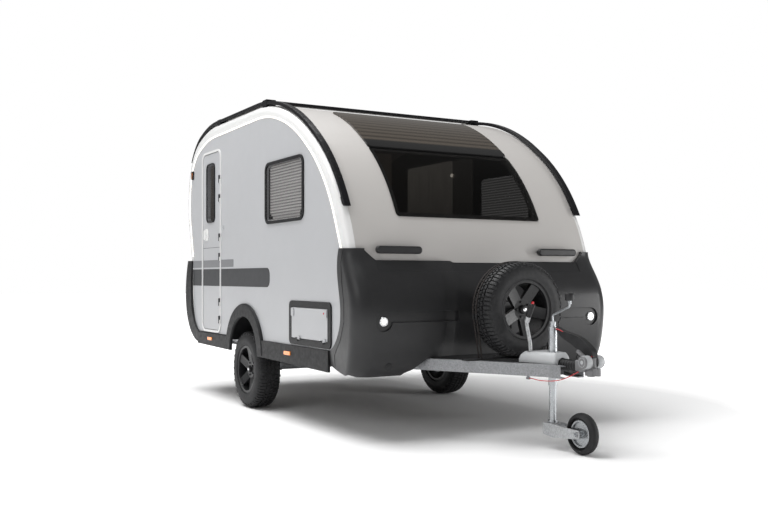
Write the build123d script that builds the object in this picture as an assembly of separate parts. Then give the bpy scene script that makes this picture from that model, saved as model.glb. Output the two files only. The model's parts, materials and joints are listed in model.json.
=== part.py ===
from build123d import *
import math
import os

os.makedirs("parts", exist_ok=True)

# Driving sizes, in millimetres. X runs forward to the hitch, Y to the vehicle's left, Z up.
# Lengths along X are taken from the axle; the whole vehicle is shifted at the end.
BODY_HALF_WIDTH = 1150.0
BODY_CORNER_R = 65.0
WALL = 34.0
BODY_BOTTOM = 600.0
FLOOR_UNDERSIDE = 600.0
FLOOR_THICKNESS = 40.0
SEAT_GAP = 0.3
DOOR_GAP = 5.0
FAR = 3000.0

# Side outline of the body: corners of the tangent lines and the radius that rounds each one.
BODY_CORNERS = [(2106, BODY_BOTTOM), (2106, 1360), (1740, 2060), (860, 2703),
                (-1033, 2703), (-1599, 2518), (-1717, 1918), (-1545, 1328), (-1545, BODY_BOTTOM)]
BODY_RADII = [1500, 1650, 1900, 1330, 570, 1033, 1968]

# Line of the contour light on the side wall, in the same form.
LIGHT_CORNERS = [(1978, 1298), (1953, 1382), (1685, 1987), (866, 2596),
                 (-994, 2579), (-1506, 2415), (-1602, 1918), (-1454, 1338), (-1454, 1249)]
LIGHT_RADII = [295, 1476, 1673, 1230, 462, 935, 295]
LIGHT_WIDTH = 13.0
LIGHT_PROUD = 5.0
LIGHT_BOTTOM = 1405.0

FRONT_SEAM_X = 1502.5
FRONT_SEAM_Z = 2240.0
FRONT_SEAM_ANGLE = 54.0
FRONT_PANEL_REAR = 770.0
REAR_SEAM_Z = 2381.0
REAR_SEAM_X = -900.0

# Front glazing
PANE_HALF_WIDTH = 684.0
PANE_OVERLAP = 32.0
PANE_START_X = 1270.0
LOWER_PANE_BOTTOM = 1653.0
LOWER_PANE_TOP = 2236.0
LOWER_PANE_PROUD = 9.0
UPPER_PANE_FRONT = 1512.5
UPPER_PANE_REAR = 855.5
UPPER_PANE_PROUD = 15.0
PANE_CORNER_R = 30.0
PANE_SIDE_Z = 2000.0

# Side windows
WINDOW_X = (509.0, 1301.0)
WINDOW_Z = (1646.0, 2175.0)
WINDOW_CORNER_R = 75.0
WINDOW_FRAME = 26.0
WINDOW_FRAME_PROUD = 12.0
WINDOW_PANE_PROUD = 18.0
WINDOW_PANE_THICKNESS = 26.0
WINDOW_PANE_EDGE = 5.0
BLIND_GAP = 14.0
BLIND_THICKNESS = 12.0

# Entrance door
DOOR_X = (-1154.0, -640.0)
DOOR_Z = (668.0, 2429.0)
DOOR_CORNER_R = 70.0
DOOR_TRIM = 22.0
DOOR_TRIM_PROUD = 7.0
DOOR_WINDOW_X = (-1023.0, -807.0)
DOOR_WINDOW_Z = (1751.0, 2312.0)
DOOR_WINDOW_CORNER_R = 50.0
DOOR_WINDOW_PROUD = 9.0
DOOR_WINDOW_OVERLAP = 16.0
DOOR_WINDOW_EDGE = 3.0
DOOR_HINGE_PROUD = 13.0
HINGE_R = 8.0
HINGE_LENGTH = 78.0
HINGE_LEAF = 20.0
HINGE_LEAF_PROUD = 3.0
HINGE_PLAY = 0.4
HINGE_Z = (778.0, 949.0, 1390.0, 1580.0, 1962.0, 2148.0)
HANDLE_PLATE_X = (-1096.0, -980.0)
HANDLE_PLATE_Z = (1556.0, 1680.0)
HANDLE_PLATE_PROUD = 8.0
HANDLE_GRIP_X = (-1084.0, -1034.0)
HANDLE_GRIP_Z = (1570.0, 1666.0)
HANDLE_GRIP_PROUD = 24.0

# Service hatch
HATCH_X = (1031.0, 1795.0)
HATCH_Z = (651.0, 1002.0)
HATCH_CORNER_R = 45.0
HATCH_FRAME = 50.0
HATCH_FRAME_PROUD = 12.0
HATCH_HINGE_PROUD = 20.0
HATCH_HINGE_INSET = 150.0
HATCH_KNUCKLE = 38.0
HATCH_KNUCKLE_R = 7.0
HATCH_GAP = 4.0
LATCH_WIDTH = 46.0
LATCH_Z = (-122.0, -58.0)
LATCH_PROUD = 8.0
LATCH_OFFSET = 108.0

# Wheels and tyres
TYRE_R = 350.0
TYRE_WIDTH = 236.0
TYRE_BEAD_R = 204.0
TYRE_SHOULDER = 34.0
WHEEL_OUTER_FACE = 1150.0
GROOVE_DEPTH = 10.0
GROOVE_WIDTH = 11.0
GROOVE_PITCH = 36.0
LUG_COUNT = 30
LUG_NOTCH = 17.0
LUG_NOTCH_DEPTH = 12.0
LUG_NOTCH_REACH = 40.0
RIM_FLANGE_R = 214.0
RIM_WIDTH = 199.0
RIM_BARREL = 12.0
RIM_LIP = 7.0
SPOKE_COUNT = 5
HUB_R = 78.0
HUB_BACK = 22.0
HUB_FACE = 56.0
CAP_R = 31.0
CAP_HEIGHT = 20.0
DRUM_R = 128.0
DRUM_LENGTH = 96.0
DRUM_EDGE = 5.0
STUB_R = 20.0
STUB_CLEARANCE = 0.3
STUB_END_WALL = 14.0
AXLE_TUBE_SIZE = 100.0
AXLE_TUBE_X = 165.0
AXLE_TUBE_Z = 395.0
ARM_THICKNESS = 46.0
ARM_CLEARANCE = 10.0
ARM_END_R = 48.0
ARM_ROOT_R = 52.0
BACKPLATE_GAP = 6.0
BACKPLATE_THICKNESS = 6.0
BACKPLATE_BOSS_R = 42.0

# Wheel arch and skirts
ARCH_X = 20.0
ARCH_Z = 494.0
ARCH_R = 337.0
ARCH_BAND = 120.0
ARCH_PROUD = 27.0
ARCH_EDGE = 10.0
SKIRT_PROUD = 21.0
SKIRT_TOP = 640.0
SKIRT_REAR_BOTTOM = 516.0
SKIRT_FRONT_BOTTOM = 478.0
SKIRT_REAR = -1266.0
SKIRT_FRONT = 1767.0
SKIRT_EDGE = 8.0
LINER_CLEARANCE = 52.0
LINER_THICKNESS = 6.0
LINER_DEPTH = 275.0

# Bumpers: level, front (or rear) face, half width, corner radius
FRONT_LEVELS = [(470, 2150, 1158, 150), (560, 2214, 1178, 140), (760, 2256, 1186, 130),
                (960, 2264, 1187, 125), (1180, 2192, 1184, 120), (1402, 2084, 1176, 115)]
REAR_LEVELS = [(518, -1500, 1146, 190), (650, -1690, 1166, 186), (860, -1790, 1173, 180),
               (1105, -1803, 1173, 175), (1364, -1750, 1164, 165)]
# Recess in the middle of the front bumper: half width at its edge and at its floor, for each level
SCOOP_HALVES = [(490, 335), (480, 325), (458, 318), (446, 307), (415, 278), (400, 262)]
SCOOP_DEPTH = 38.0
SCOOP_R = 170.0
FRONT_EDGE = [(1931, 1403), (1905, 1298), (1926, 1160), (1966, 1013), (1968, 865), (1899, 729), (1771, 641)]
REAR_EDGE = [(-1476, 1365), (-1484, 1200), (-1481, 1003), (-1427, 787), (-1270, 641)]
FRONT_BUMPER_BACK = 1700.0
REAR_BUMPER_BACK = -1000.0
BUMPER_TAPER = 28.0
BUMPER_WALL = 26.0
BUMPER_FLANGE = 110.0
REAR_FLANGE = 30.0
BUMPER_SLOT_DEPTH = 13.0
BUMPER_LIP_Z = 1235.0
BUMPER_LIP_STEP = 5.0
LAMP_Y = 969.0
LAMP_Z = 873.0
LAMP_R = 33.0
LAMP_BEZEL_R = 71.0
LAMP_PROUD = 9.0
SLOT_Z = (866.0, 945.0)
SLOT_INNER_Y = 300.0
NOTCH_Y = (954.0, 1031.0)
NOTCH_Z = (1316.0, 1388.0)
DRAWBAR_NOTCH = [(-800, 440), (-749, 488), (-689, 512), (-589, 587), (-530, 604)]
REAR_LAMP_Y = 955.0
REAR_LAMP_Z = 1040.0
REAR_LAMP_SIZE = (150.0, 330.0, 40.0)
REAR_LAMP_DEPTH = 12.0
PLATE_Z = 965.0
PLATE_SIZE = (520.0, 112.0, 12.0)
PLATE_DEPTH = 5.0

# Grab handles
GRAB_Y = (-945.0, -555.0)
GRAB_HEIGHT = 58.0
GRAB_DEPTH = 34.0
GRAB_EDGE = 13.0
GRAB_FOOT_R = 15.0
GRAB_FOOT_INSET = 40.0
GRAB_FOOT_REACH = 95.0
FRONT_GRAB = (2090.0, 1393.0)
REAR_GRAB = (-1620.0, 1436.0)

# Marker lamps
MARKER_SPOTS = ((-885.0, 581.0), (1020.0, 572.0))
MARKER_HALF = (62.0, 15.0)
MARKER_PROUD = 7.0
OUTLINE_LAMP_X = (-1488.0, -1454.0)
OUTLINE_LAMP_Z = (2219.0, 2300.0)
OUTLINE_LAMP_PROUD = 16.0

# Chassis and drawbar
RAIL_Y = 722.0
RAIL_WIDTH = 44.0
RAIL_HEIGHT = 118.0
RAIL_GAUGE = 6.0
RAIL_REAR = -1515.0
RAIL_FRONT = 1970.0
AXLE_BRACKET_HALF = 75.0
AXLE_BRACKET_THICKNESS = 32.0
CROSSBEAM_X = (20.0, 70.0)
CROSSBEAM_HEIGHT = 80.0
ARM_HEIGHT = 86.0
ARM_WIDTH = 48.0
ARM_TOP = 590.0
ARM_START_X = 1020.0
ARM_BEND_X = 1950.0
ARM_BEND_R = 160.0
ARM_CLOSE_X = 3020.0
ARM_END_X = 3145.0
HOUSING_X = (2760.0, 3000.0)
HOUSING_HALF_WIDTH = 58.0
HOUSING_Z = (512.0, 622.0)
HOUSING_EDGE_R = 18.0
DRAWTUBE_R = 25.0
DRAWTUBE_Z = 592.0
GAITER_R = 40.0
GAITER_FOLD = 8.0
GAITER_FOLDS = 8
GAITER_X = (3000.4, 3210.0)
COUPLING_X = 3336.0
COUPLING_NOSE = 3416.0
COUPLING_KNOB_Z = 628.0
KNOB_R = 44.0
KNOB_Y = (24.0, 84.0)
KNOB_EDGE = 9.0
CROWN_R = 36.0
CROWN_Z = (585.0, 655.0)
NECK_HALF_WIDTH = 30.0
NECK_Z = (558.0, 634.0)
NECK_EDGE_R = 14.0
NOSE_HALF_WIDTH = 20.0
NOSE_RISE = 24.0
BALL_R = 25.0
BALL_Z = 566.0
SOCKET_WALL = 17.0
SOCKET_SKIRT = 26.0
TAB_FACE = [(3333, 654), (3343, 669), (3274, 708), (3264, 693)]
TAB_Y = (-70.0, -50.0)
GRIP_UPPER = [(3374, 655.3), (3368, 696), (3323, 738), (3225, 790), (3125, 812), (3004, 846)]
GRIP_LOWER = [(3000, 828), (3079, 770), (3150, 740), (3236, 696), (3298, 655.3)]
GRIP_HALF_WIDTH = 21.0

# Cover over the overrun gear: level, rear end, front end, rear half width, front half width
COVER_LEVELS = [(ARM_TOP + SEAT_GAP, 2733, 3050, 150, 66), (642, 2741, 3046, 138, 62),
                (668, 2762, 3030, 108, 50)]
COVER_WALL = 5.0
COVER_CORNER_R = 22.0
COVER_ROOM = 3.0
LEVER_SLOT_X = (2762.0, 2824.0)
LEVER_SLOT_Y = (-104.0, -46.0)

# Handbrake lever
LEVER_POINTS = [(2796.5, 552), (2785.5, 720), (2742.5, 866), (2804.5, 988)]
LEVER_RADII = [90, 40]
LEVER_R = 13.0
LEVER_BOSS_R = 22.0
LEVER_BOSS_REACH = 16.0
LEVER_OFFSET = 14.0
LEVER_GRIP_R = 18.0
LEVER_GRIP_SHARE = 0.72
LEVER_GRIP_END = (2810.5, 1000.0)

# Breakaway cable and its clip under the right drawbar arm
CABLE_D = 6.0
CABLE_POINTS = [(2886.3, -160, 488), (2926, -160, 488), (2984, -148, 480), (3050, -132, 482),
                (3116, -114, 488), (3178, -92, 508), (3237.3, -72.2, 537.4), (3291.7, -66.03, 565.86)]
CABLE_EYE = ((3292.0, -66.0, 566.0), (3331.7, -61.5, 586.7))
CABLE_EYE_R = 7.0
CLIP_X = (2862.0, 2886.0)
CLIP_Y = (-170.0, -150.0)
CLIP_Z = (479.0, 497.0)
CLIP_STEM = 4.0

# Jockey wheel
JOCKEY_X = 2945.0
JOCKEY_TUBE_R = 30.0
JOCKEY_INNER_R = 25.0
JOCKEY_FIT = 0.4
JOCKEY_TUBE_Z = (436.0, 842.0)
JOCKEY_BORE_DEPTH = 391.0
JOCKEY_COLLAR_R = 22.0
JOCKEY_COLLAR_HEIGHT = 40.0
JOCKEY_LEG_TOP = 610.0
JOCKEY_FLANGE_R = 33.0
JOCKEY_FLANGE = 16.0
JOCKEY_WHEEL_R = 140.0
JOCKEY_WHEEL_WIDTH = 82.0
JOCKEY_RIM_R = 92.0
JOCKEY_HUB_WIDTH = 50.0
JOCKEY_HUB_DISH = 80.0
JOCKEY_TRAIL = 305.0
JOCKEY_FORK_Z = 170.0
JOCKEY_CROWN_HALF = 44.0
JOCKEY_CROWN = 11.4
JOCKEY_PLATE = 6.0
JOCKEY_PLATE_ROOM = 7.0
JOCKEY_PIN_REACH = 12.0
JOCKEY_AXLE_R = 8.0
CRANK_POINTS = [(0, 878), (0, 926), (175, 988), (175, 1014)]
CRANK_R = 7.5
CRANK_BEND_R = 18.0
CRANK_NECK_R = 13.0
CRANK_NECK_Z = (1006.0, 1038.0)
CRANK_KNOB_R = 31.0
CRANK_KNOB_Z = (1034.0, 1082.0)
CRANK_KNOB_EDGE = 12.0

# Spare wheel
SPARE_FACE_X = 2672.0
SPARE_Z = 955.0
STRAP_WIDTH = 14.0
STRAP_THICKNESS = 4.0
STRAP_X = (2481.0, 2518.0)
STRAP_ANCHOR_Y = 300.0
STRAP_ANCHOR_RISE = 12.0
POST_X = (2374.0, 2418.0)
POST_HALF_WIDTH = 45.0
POST_RISE = 60.0
CARRIER_FRONT = 2640.0
CARRIER_HALF_WIDTH = 90.0
CARRIER_Z = (5.0, 13.0)
BEARER_X = (2464.0, 2534.0)
BEARER_HALF_WIDTH = 440.0
BEARER_HEIGHT = 10.0
BOSS_R = 52.0

# Roof rails
RAIL_BAR_Y = (1078.0, 1126.0)
RAIL_BAR_LOW = 9.0
RAIL_BAR_TOP = 38.0
RAIL_BAR_FRONT_Z = 1716.0
RAIL_BAR_REAR_Z = 2410.0
RAIL_LIMIT_X = (-1000.0, 1370.0)
RAIL_FEET = ((1897.0, 1757.0), (-1584.0, 2450.0))
RAIL_FOOT_HALF = (60.0, 28.0)
RAIL_FOOT_INSET = 5.0
BRACKET_X = (425.0, -748.0)
BRACKET_LENGTH = 92.0
BRACKET_INNER_Y = 1040.0
BRACKET_Z = (2624.0, 2744.0)
CROSSBAR_LENGTH_X = 62.0
CROSSBAR_Z = (2712.0, 2742.0)
CROSSBAR_EDGE_R = 12.0

# Steady legs
STEADY_LENGTH = 560.0
STEADY_Z = 546.0
STEADY_Y = 800.0
STEADY_PIVOTS = (1450.0, -740.0)
STEADY_HALF_WIDTH = 22.0
STEADY_HALF_HEIGHT = 16.0
STEADY_GAUGE = 5.0
STEADY_EYE_R = 18.0
STEADY_PIN_R = 8.0
STEADY_PIN_FIT = 0.3
STEADY_FOOT = (8.0, 45.0, 40.0, 28.0)
STEADY_BRACKET = (40.0, 34.0, 7.0)

# Cross wall inside
CROSS_WALL_X = (-1246.0, -1216.0)

WHEEL_Y = WHEEL_OUTER_FACE - TYRE_WIDTH / 2
Y_OUT = -BODY_HALF_WIDTH
Y_IN = -(BODY_HALF_WIDTH - WALL)
parts = {}


def shifted_corners(corners, distance):
    """Move every line of an outline outward (to its right) and meet the lines again."""
    lines = []
    for (x0, z0), (x1, z1) in zip(corners, corners[1:]):
        length = math.hypot(x1 - x0, z1 - z0)
        nx, nz = (z1 - z0) / length, -(x1 - x0) / length
        lines.append((x0 + nx * distance, z0 + nz * distance, x1 - x0, z1 - z0))
    moved = [lines[0][:2]]
    for (ax, az, adx, adz), (bx, bz, bdx, bdz) in zip(lines, lines[1:]):
        t = ((bx - ax) * bdz - (bz - az) * bdx) / (adx * bdz - adz * bdx)
        moved.append((ax + adx * t, az + adz * t))
    last = lines[-1]
    moved.append((last[0] + last[2], last[1] + last[3]))
    return moved


def turn(a, b, c):
    return (b[0] - a[0]) * (c[1] - b[1]) - (b[1] - a[1]) * (c[0] - b[0])


def outline_face(corners, radii, distance=0.0, drop=0.0):
    """Closed face below a rounded outline that is moved outward by a distance."""
    points = shifted_corners(corners, distance)
    rounds = []
    for i, radius in enumerate(radii):
        convex = turn(corners[i], corners[i + 1], corners[i + 2]) > 0
        rounds.append(radius + distance if convex else radius - distance)
    points[0] = (points[0][0], points[0][1] - drop)
    points[-1] = (points[-1][0], points[-1][1] - drop)
    chain = FilletPolyline(*points, radius=rounds)
    return make_face(chain + Line(points[-1], points[0]))


def side_prism(face, y0, y1):
    """Extrude a side-view face between two lateral positions."""
    start = Plane((0, y0, 0), x_dir=(1, 0, 0), z_dir=(0, -1, 0))
    return extrude(start * face, amount=y0 - y1)


def front_prism(face, x0, x1):
    """Extrude a front-view face between two positions along the vehicle."""
    start = Plane((x0, 0, 0), x_dir=(0, 1, 0), z_dir=(1, 0, 0))
    return extrude(start * face, amount=x1 - x0)


def block(x, y, z):
    """Box between pairs of limits."""
    size = (x[1] - x[0], y[1] - y[0], z[1] - z[0])
    centre = ((x[0] + x[1]) / 2, (y[0] + y[1]) / 2, (z[0] + z[1]) / 2)
    return Pos(*centre) * Box(*size)


def rounded_panel(x, z, radius, y0, y1, inset=0.0):
    """Rounded rectangle in side view, extruded between two lateral positions."""
    width = x[1] - x[0] - 2 * inset
    height = z[1] - z[0] - 2 * inset
    face = RectangleRounded(width, height, max(radius - inset, 4.0))
    return side_prism(Pos((x[0] + x[1]) / 2, (z[0] + z[1]) / 2) * face, y0, y1)


def rod(start, end, radius):
    """Round bar between two points."""
    a, b = Vector(*start), Vector(*end)
    axis = b - a
    return extrude(Plane(a, z_dir=axis) * Circle(radius), amount=axis.length)


def upright(x, z, radius, y=0.0):
    """Vertical round bar between two levels."""
    return Pos(x, y, (z[0] + z[1]) / 2) * Cylinder(radius, z[1] - z[0])


def mirrored(shape):
    return mirror(shape, about=Plane.XZ)


def joined(*shapes):
    """Separate solids kept together as one part."""
    return Compound([solid for shape in shapes for solid in shape.solids()])


def both(shape):
    """A right-hand piece together with its left-hand mirror image."""
    return joined(shape, mirrored(shape))


def add_sides(name, right_shape):
    """Keep a right-hand part and its left-hand mirror image as two parts."""
    parts[name + "_right"] = right_shape
    parts[name + "_left"] = mirrored(right_shape)


# Body shell
def body_solid(distance, drop=0.0):
    """Body volume with rounded long edges, grown or shrunk by a distance."""
    half = BODY_HALF_WIDTH + distance
    face = outline_face(BODY_CORNERS, BODY_RADII, distance, drop)
    solid = side_prism(face, half, -half)
    low = BODY_BOTTOM - drop + 1
    rims = [e for e in solid.edges()
            if abs(abs(e.center().Y) - half) < 0.01 and e.center().Z > low]
    return fillet(rims, BODY_CORNER_R + distance)


outer_body = body_solid(0.0)
inner_body = body_solid(-WALL, drop=60.0)
clear_body = body_solid(SEAT_GAP, drop=250.0)
shell = outer_body - inner_body

flat_half = BODY_HALF_WIDTH - BODY_CORNER_R
light_face = outline_face(LIGHT_CORNERS, LIGHT_RADII, 0.0, drop=LIGHT_CORNERS[0][1] - BODY_BOTTOM)
side_zone = side_prism(light_face, -flat_half, -(BODY_HALF_WIDTH + 5))
edge_zone = block((-FAR, FAR), (-(BODY_HALF_WIDTH + 5), -flat_half), (0, FAR))
centre_zone = block((-FAR, FAR), (-flat_half, flat_half), (0, FAR))

wall_blank = shell & side_zone
edge_trim = (shell & edge_zone) - side_zone
centre_shell = shell & centre_zone

seam_tilt = math.radians(FRONT_SEAM_ANGLE)
seam_plane = Plane((FRONT_SEAM_X, 0, FRONT_SEAM_Z), x_dir=(0, 1, 0),
                   z_dir=(-math.sin(seam_tilt), 0, math.cos(seam_tilt)))
front_panel = split(centre_shell, bisect_by=seam_plane, keep=Keep.BOTTOM)
upper_shell = split(centre_shell, bisect_by=seam_plane, keep=Keep.TOP)
rear_zone = block((-FAR, REAR_SEAM_X), (-FAR, FAR), (0, REAR_SEAM_Z))
front_zone = block((FRONT_PANEL_REAR, FAR), (-FAR, FAR), (0, FAR))
front_panel = front_panel & front_zone
rear_wall = centre_shell & rear_zone
roof_panel = upper_shell - rear_zone

# Front glazing: two curved panes that lie on the body and cover their openings
opening_half = PANE_HALF_WIDTH - PANE_OVERLAP
lower_opening = block((PANE_START_X, FAR), (-opening_half, opening_half),
                      (LOWER_PANE_BOTTOM + PANE_OVERLAP, LOWER_PANE_TOP - PANE_OVERLAP))
upper_opening = block((UPPER_PANE_REAR + PANE_OVERLAP, UPPER_PANE_FRONT - 2 * PANE_OVERLAP),
                      (-opening_half, opening_half), (PANE_SIDE_Z, FAR))
front_panel = front_panel - lower_opening
roof_panel = roof_panel - upper_opening


def glazing_slab(proud):
    face = outline_face(BODY_CORNERS, BODY_RADII, proud)
    return side_prism(face, PANE_HALF_WIDTH, -PANE_HALF_WIDTH) - clear_body


lower_window = Pos(0, (LOWER_PANE_BOTTOM + LOWER_PANE_TOP) / 2) * RectangleRounded(
    2 * PANE_HALF_WIDTH, LOWER_PANE_TOP - LOWER_PANE_BOTTOM, PANE_CORNER_R)
upper_window = Pos((UPPER_PANE_FRONT + UPPER_PANE_REAR) / 2, 0) * RectangleRounded(
    UPPER_PANE_FRONT - UPPER_PANE_REAR, 2 * PANE_HALF_WIDTH, PANE_CORNER_R)
side_level = Pos(0, 0, PANE_SIDE_Z)
upper_pane = glazing_slab(UPPER_PANE_PROUD) & extrude(side_level * upper_window, amount=FAR)
lower_pane = glazing_slab(LOWER_PANE_PROUD) & front_prism(lower_window, PANE_START_X, FAR)
lower_pane = lower_pane - extrude(side_level * offset(upper_window, SEAT_GAP), amount=FAR)
parts["front_window"] = lower_pane
parts["roof_window"] = upper_pane
parts["front_panel"] = front_panel
parts["roof_panel"] = roof_panel
parts["rear_wall"] = rear_wall
parts["edge_trims"] = both(edge_trim)

# Contour lights
light_band = (outline_face(LIGHT_CORNERS, LIGHT_RADII, LIGHT_WIDTH / 2)
              - outline_face(LIGHT_CORNERS, LIGHT_RADII, -LIGHT_WIDTH / 2, drop=10.0))
light_band = light_band & (Pos(0, LIGHT_BOTTOM + FAR / 2) * Rectangle(2 * FAR, FAR))
light_strip = side_prism(light_band, Y_OUT, Y_OUT - LIGHT_PROUD)
parts["contour_lights"] = both(light_strip)

# Side walls with their openings
arch_cut = side_prism(Pos(ARCH_X, ARCH_Z) * Circle(ARCH_R + LINER_CLEARANCE), Y_OUT - 60, Y_IN + 10)
window_cut = rounded_panel(WINDOW_X, WINDOW_Z, WINDOW_CORNER_R, Y_OUT - 5, Y_IN + 5, WINDOW_FRAME)
door_cut = rounded_panel(DOOR_X, DOOR_Z, DOOR_CORNER_R, Y_OUT - 5, Y_IN + 5)
hatch_cut = rounded_panel(HATCH_X, HATCH_Z, HATCH_CORNER_R, Y_OUT - 5, Y_IN + 5, HATCH_FRAME)
plain_wall = wall_blank - window_cut - arch_cut
parts["side_wall_right"] = plain_wall - door_cut - hatch_cut
parts["side_wall_left"] = mirrored(plain_wall)

# Side windows, each a frame on the wall, a pane and a pleated blind behind it
frame_out = rounded_panel(WINDOW_X, WINDOW_Z, WINDOW_CORNER_R, Y_OUT - WINDOW_FRAME_PROUD,
                          Y_OUT - SEAT_GAP)
frame_in = rounded_panel(WINDOW_X, WINDOW_Z, WINDOW_CORNER_R, Y_OUT - 50, Y_OUT + 50, WINDOW_FRAME)
parts["window_frames"] = both(frame_out - frame_in)
pane_face = Y_OUT - WINDOW_PANE_PROUD
pane = rounded_panel(WINDOW_X, WINDOW_Z, WINDOW_CORNER_R, pane_face,
                     pane_face + WINDOW_PANE_THICKNESS, WINDOW_FRAME + SEAT_GAP)
pane = chamfer(pane.faces().sort_by(Axis.Y)[0].edges(), WINDOW_PANE_EDGE)
parts["side_windows"] = both(pane)
blind_y = pane_face + WINDOW_PANE_THICKNESS + BLIND_GAP
blind = rounded_panel(WINDOW_X, WINDOW_Z, WINDOW_CORNER_R, blind_y, blind_y + BLIND_THICKNESS,
                      WINDOW_FRAME + SEAT_GAP)
parts["blinds"] = both(blind)

# Entrance door, hinged at its front edge outside the wall
trim_out = rounded_panel(DOOR_X, DOOR_Z, DOOR_CORNER_R, Y_OUT - DOOR_TRIM_PROUD, Y_OUT, -DOOR_TRIM)
trim_in = rounded_panel(DOOR_X, DOOR_Z, DOOR_CORNER_R, Y_OUT - 20, Y_OUT + 20)
hinge_x = DOOR_X[1] - DOOR_GAP / 2
hinge_y = Y_OUT - DOOR_HINGE_PROUD
leaf = rounded_panel(DOOR_X, DOOR_Z, DOOR_CORNER_R, Y_OUT, Y_IN, DOOR_GAP)
leaf = leaf - rounded_panel(DOOR_WINDOW_X, DOOR_WINDOW_Z, DOOR_WINDOW_CORNER_R, Y_OUT - 20, Y_IN + 20)
door_frame = trim_out - trim_in
half_knuckle = HINGE_LENGTH / 2 - HINGE_PLAY / 2
leaf_depth = (hinge_y - HINGE_LEAF_PROUD, Y_OUT)
for z in HINGE_Z:
    low = (z - half_knuckle, z - HINGE_PLAY / 2)
    high = (z + HINGE_PLAY / 2, z + half_knuckle)
    sweep_space = Pos(hinge_x, hinge_y, z) * Cylinder(HINGE_R + 5.0, HINGE_LENGTH + 10)
    door_frame = door_frame - sweep_space
    door_frame = door_frame + upright(hinge_x, low, HINGE_R, hinge_y)
    door_frame = door_frame + block((hinge_x, hinge_x + HINGE_LEAF), leaf_depth, low)
    leaf = leaf + upright(hinge_x, high, HINGE_R, hinge_y)
    leaf = leaf + block((hinge_x - HINGE_LEAF, hinge_x), leaf_depth, high)
parts["door_frame"] = door_frame
parts["door_leaf"] = leaf
door_pane = rounded_panel(DOOR_WINDOW_X, DOOR_WINDOW_Z, DOOR_WINDOW_CORNER_R, Y_OUT - DOOR_WINDOW_PROUD,
                          Y_OUT - SEAT_GAP, -DOOR_WINDOW_OVERLAP)
door_pane = chamfer(door_pane.faces().sort_by(Axis.Y)[0].edges(), DOOR_WINDOW_EDGE)
parts["door_window"] = door_pane
handle_plate = rounded_panel(HANDLE_PLATE_X, HANDLE_PLATE_Z, 40.0, Y_OUT - HANDLE_PLATE_PROUD,
                             Y_OUT - SEAT_GAP)
handle_grip = rounded_panel(HANDLE_GRIP_X, HANDLE_GRIP_Z, 18.0, Y_OUT - HANDLE_GRIP_PROUD,
                            Y_OUT - HANDLE_PLATE_PROUD + 1)
parts["door_handle"] = handle_plate + fillet(handle_grip.faces().sort_by(Axis.Y)[0].edges(), 6.0)

# Service hatch: fixed frame and a flap hinged along its lower edge
frame_face = Y_OUT - HATCH_FRAME_PROUD
hatch_outer = rounded_panel(HATCH_X, HATCH_Z, HATCH_CORNER_R, frame_face, Y_OUT - SEAT_GAP)
hatch_inner = rounded_panel(HATCH_X, HATCH_Z, HATCH_CORNER_R, Y_OUT - 60, Y_OUT + 60, HATCH_FRAME)
hatch_frame = hatch_outer - hatch_inner
flap = rounded_panel(HATCH_X, HATCH_Z, HATCH_CORNER_R, frame_face, Y_IN, HATCH_FRAME + HATCH_GAP)
flap_z = HATCH_Z[0] + HATCH_FRAME + HATCH_GAP / 2
flap_y = Y_OUT - HATCH_HINGE_PROUD
knuckle_depth = (flap_y - HINGE_LEAF_PROUD, frame_face)
for x in (HATCH_X[0] + HATCH_HINGE_INSET, HATCH_X[1] - HATCH_HINGE_INSET):
    fixed = (x, x + HATCH_KNUCKLE)
    moving = (x + HATCH_KNUCKLE + 0.6, x + 2 * HATCH_KNUCKLE)
    hatch_frame = hatch_frame + rod((fixed[0], flap_y, flap_z), (fixed[1], flap_y, flap_z), HATCH_KNUCKLE_R)
    hatch_frame = hatch_frame + block(fixed, knuckle_depth, (flap_z - HINGE_LEAF, flap_z))
    flap = flap + rod((moving[0], flap_y, flap_z), (moving[1], flap_y, flap_z), HATCH_KNUCKLE_R)
    flap = flap + block(moving, knuckle_depth, (flap_z, flap_z + HINGE_LEAF))
for latch_x in (HATCH_X[0] + HATCH_HINGE_INSET - LATCH_OFFSET + 14,
                HATCH_X[1] - HATCH_HINGE_INSET + LATCH_OFFSET - LATCH_WIDTH - 14):
    latch_z = (HATCH_Z[1] + LATCH_Z[0], HATCH_Z[1] + LATCH_Z[1])
    flap = flap + rounded_panel((latch_x, latch_x + LATCH_WIDTH), latch_z, 8.0,
                                frame_face - LATCH_PROUD, frame_face)
parts["hatch_frame"] = hatch_frame
parts["hatch_flap"] = flap

# Floor, with notches for the wheel housings
floor_slab = inner_body & block((-FAR, FAR), (-FAR, FAR),
                                (FLOOR_UNDERSIDE, FLOOR_UNDERSIDE + FLOOR_THICKNESS))
notch_r = ARCH_R + LINER_CLEARANCE
y_back = -(BODY_HALF_WIDTH - LINER_DEPTH)
floor_notch = block((ARCH_X - notch_r, ARCH_X + notch_r), (-FAR, y_back), (500, 700))
parts["floor"] = floor_slab - floor_notch - mirrored(floor_notch)

# Wheel housings
liner_face = Pos(ARCH_X, ARCH_Z) * (Circle(notch_r) - Circle(notch_r - LINER_THICKNESS))
liner_back = Pos(ARCH_X, ARCH_Z) * Circle(notch_r)
liner_low = Pos(ARCH_X, FLOOR_UNDERSIDE - 600) * Rectangle(2000, 1200)
housing = side_prism(liner_face - liner_low, Y_OUT + SEAT_GAP, y_back)
housing = housing + side_prism(liner_back - liner_low, y_back - LINER_THICKNESS, y_back)
parts["wheel_housings"] = both(housing)


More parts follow.
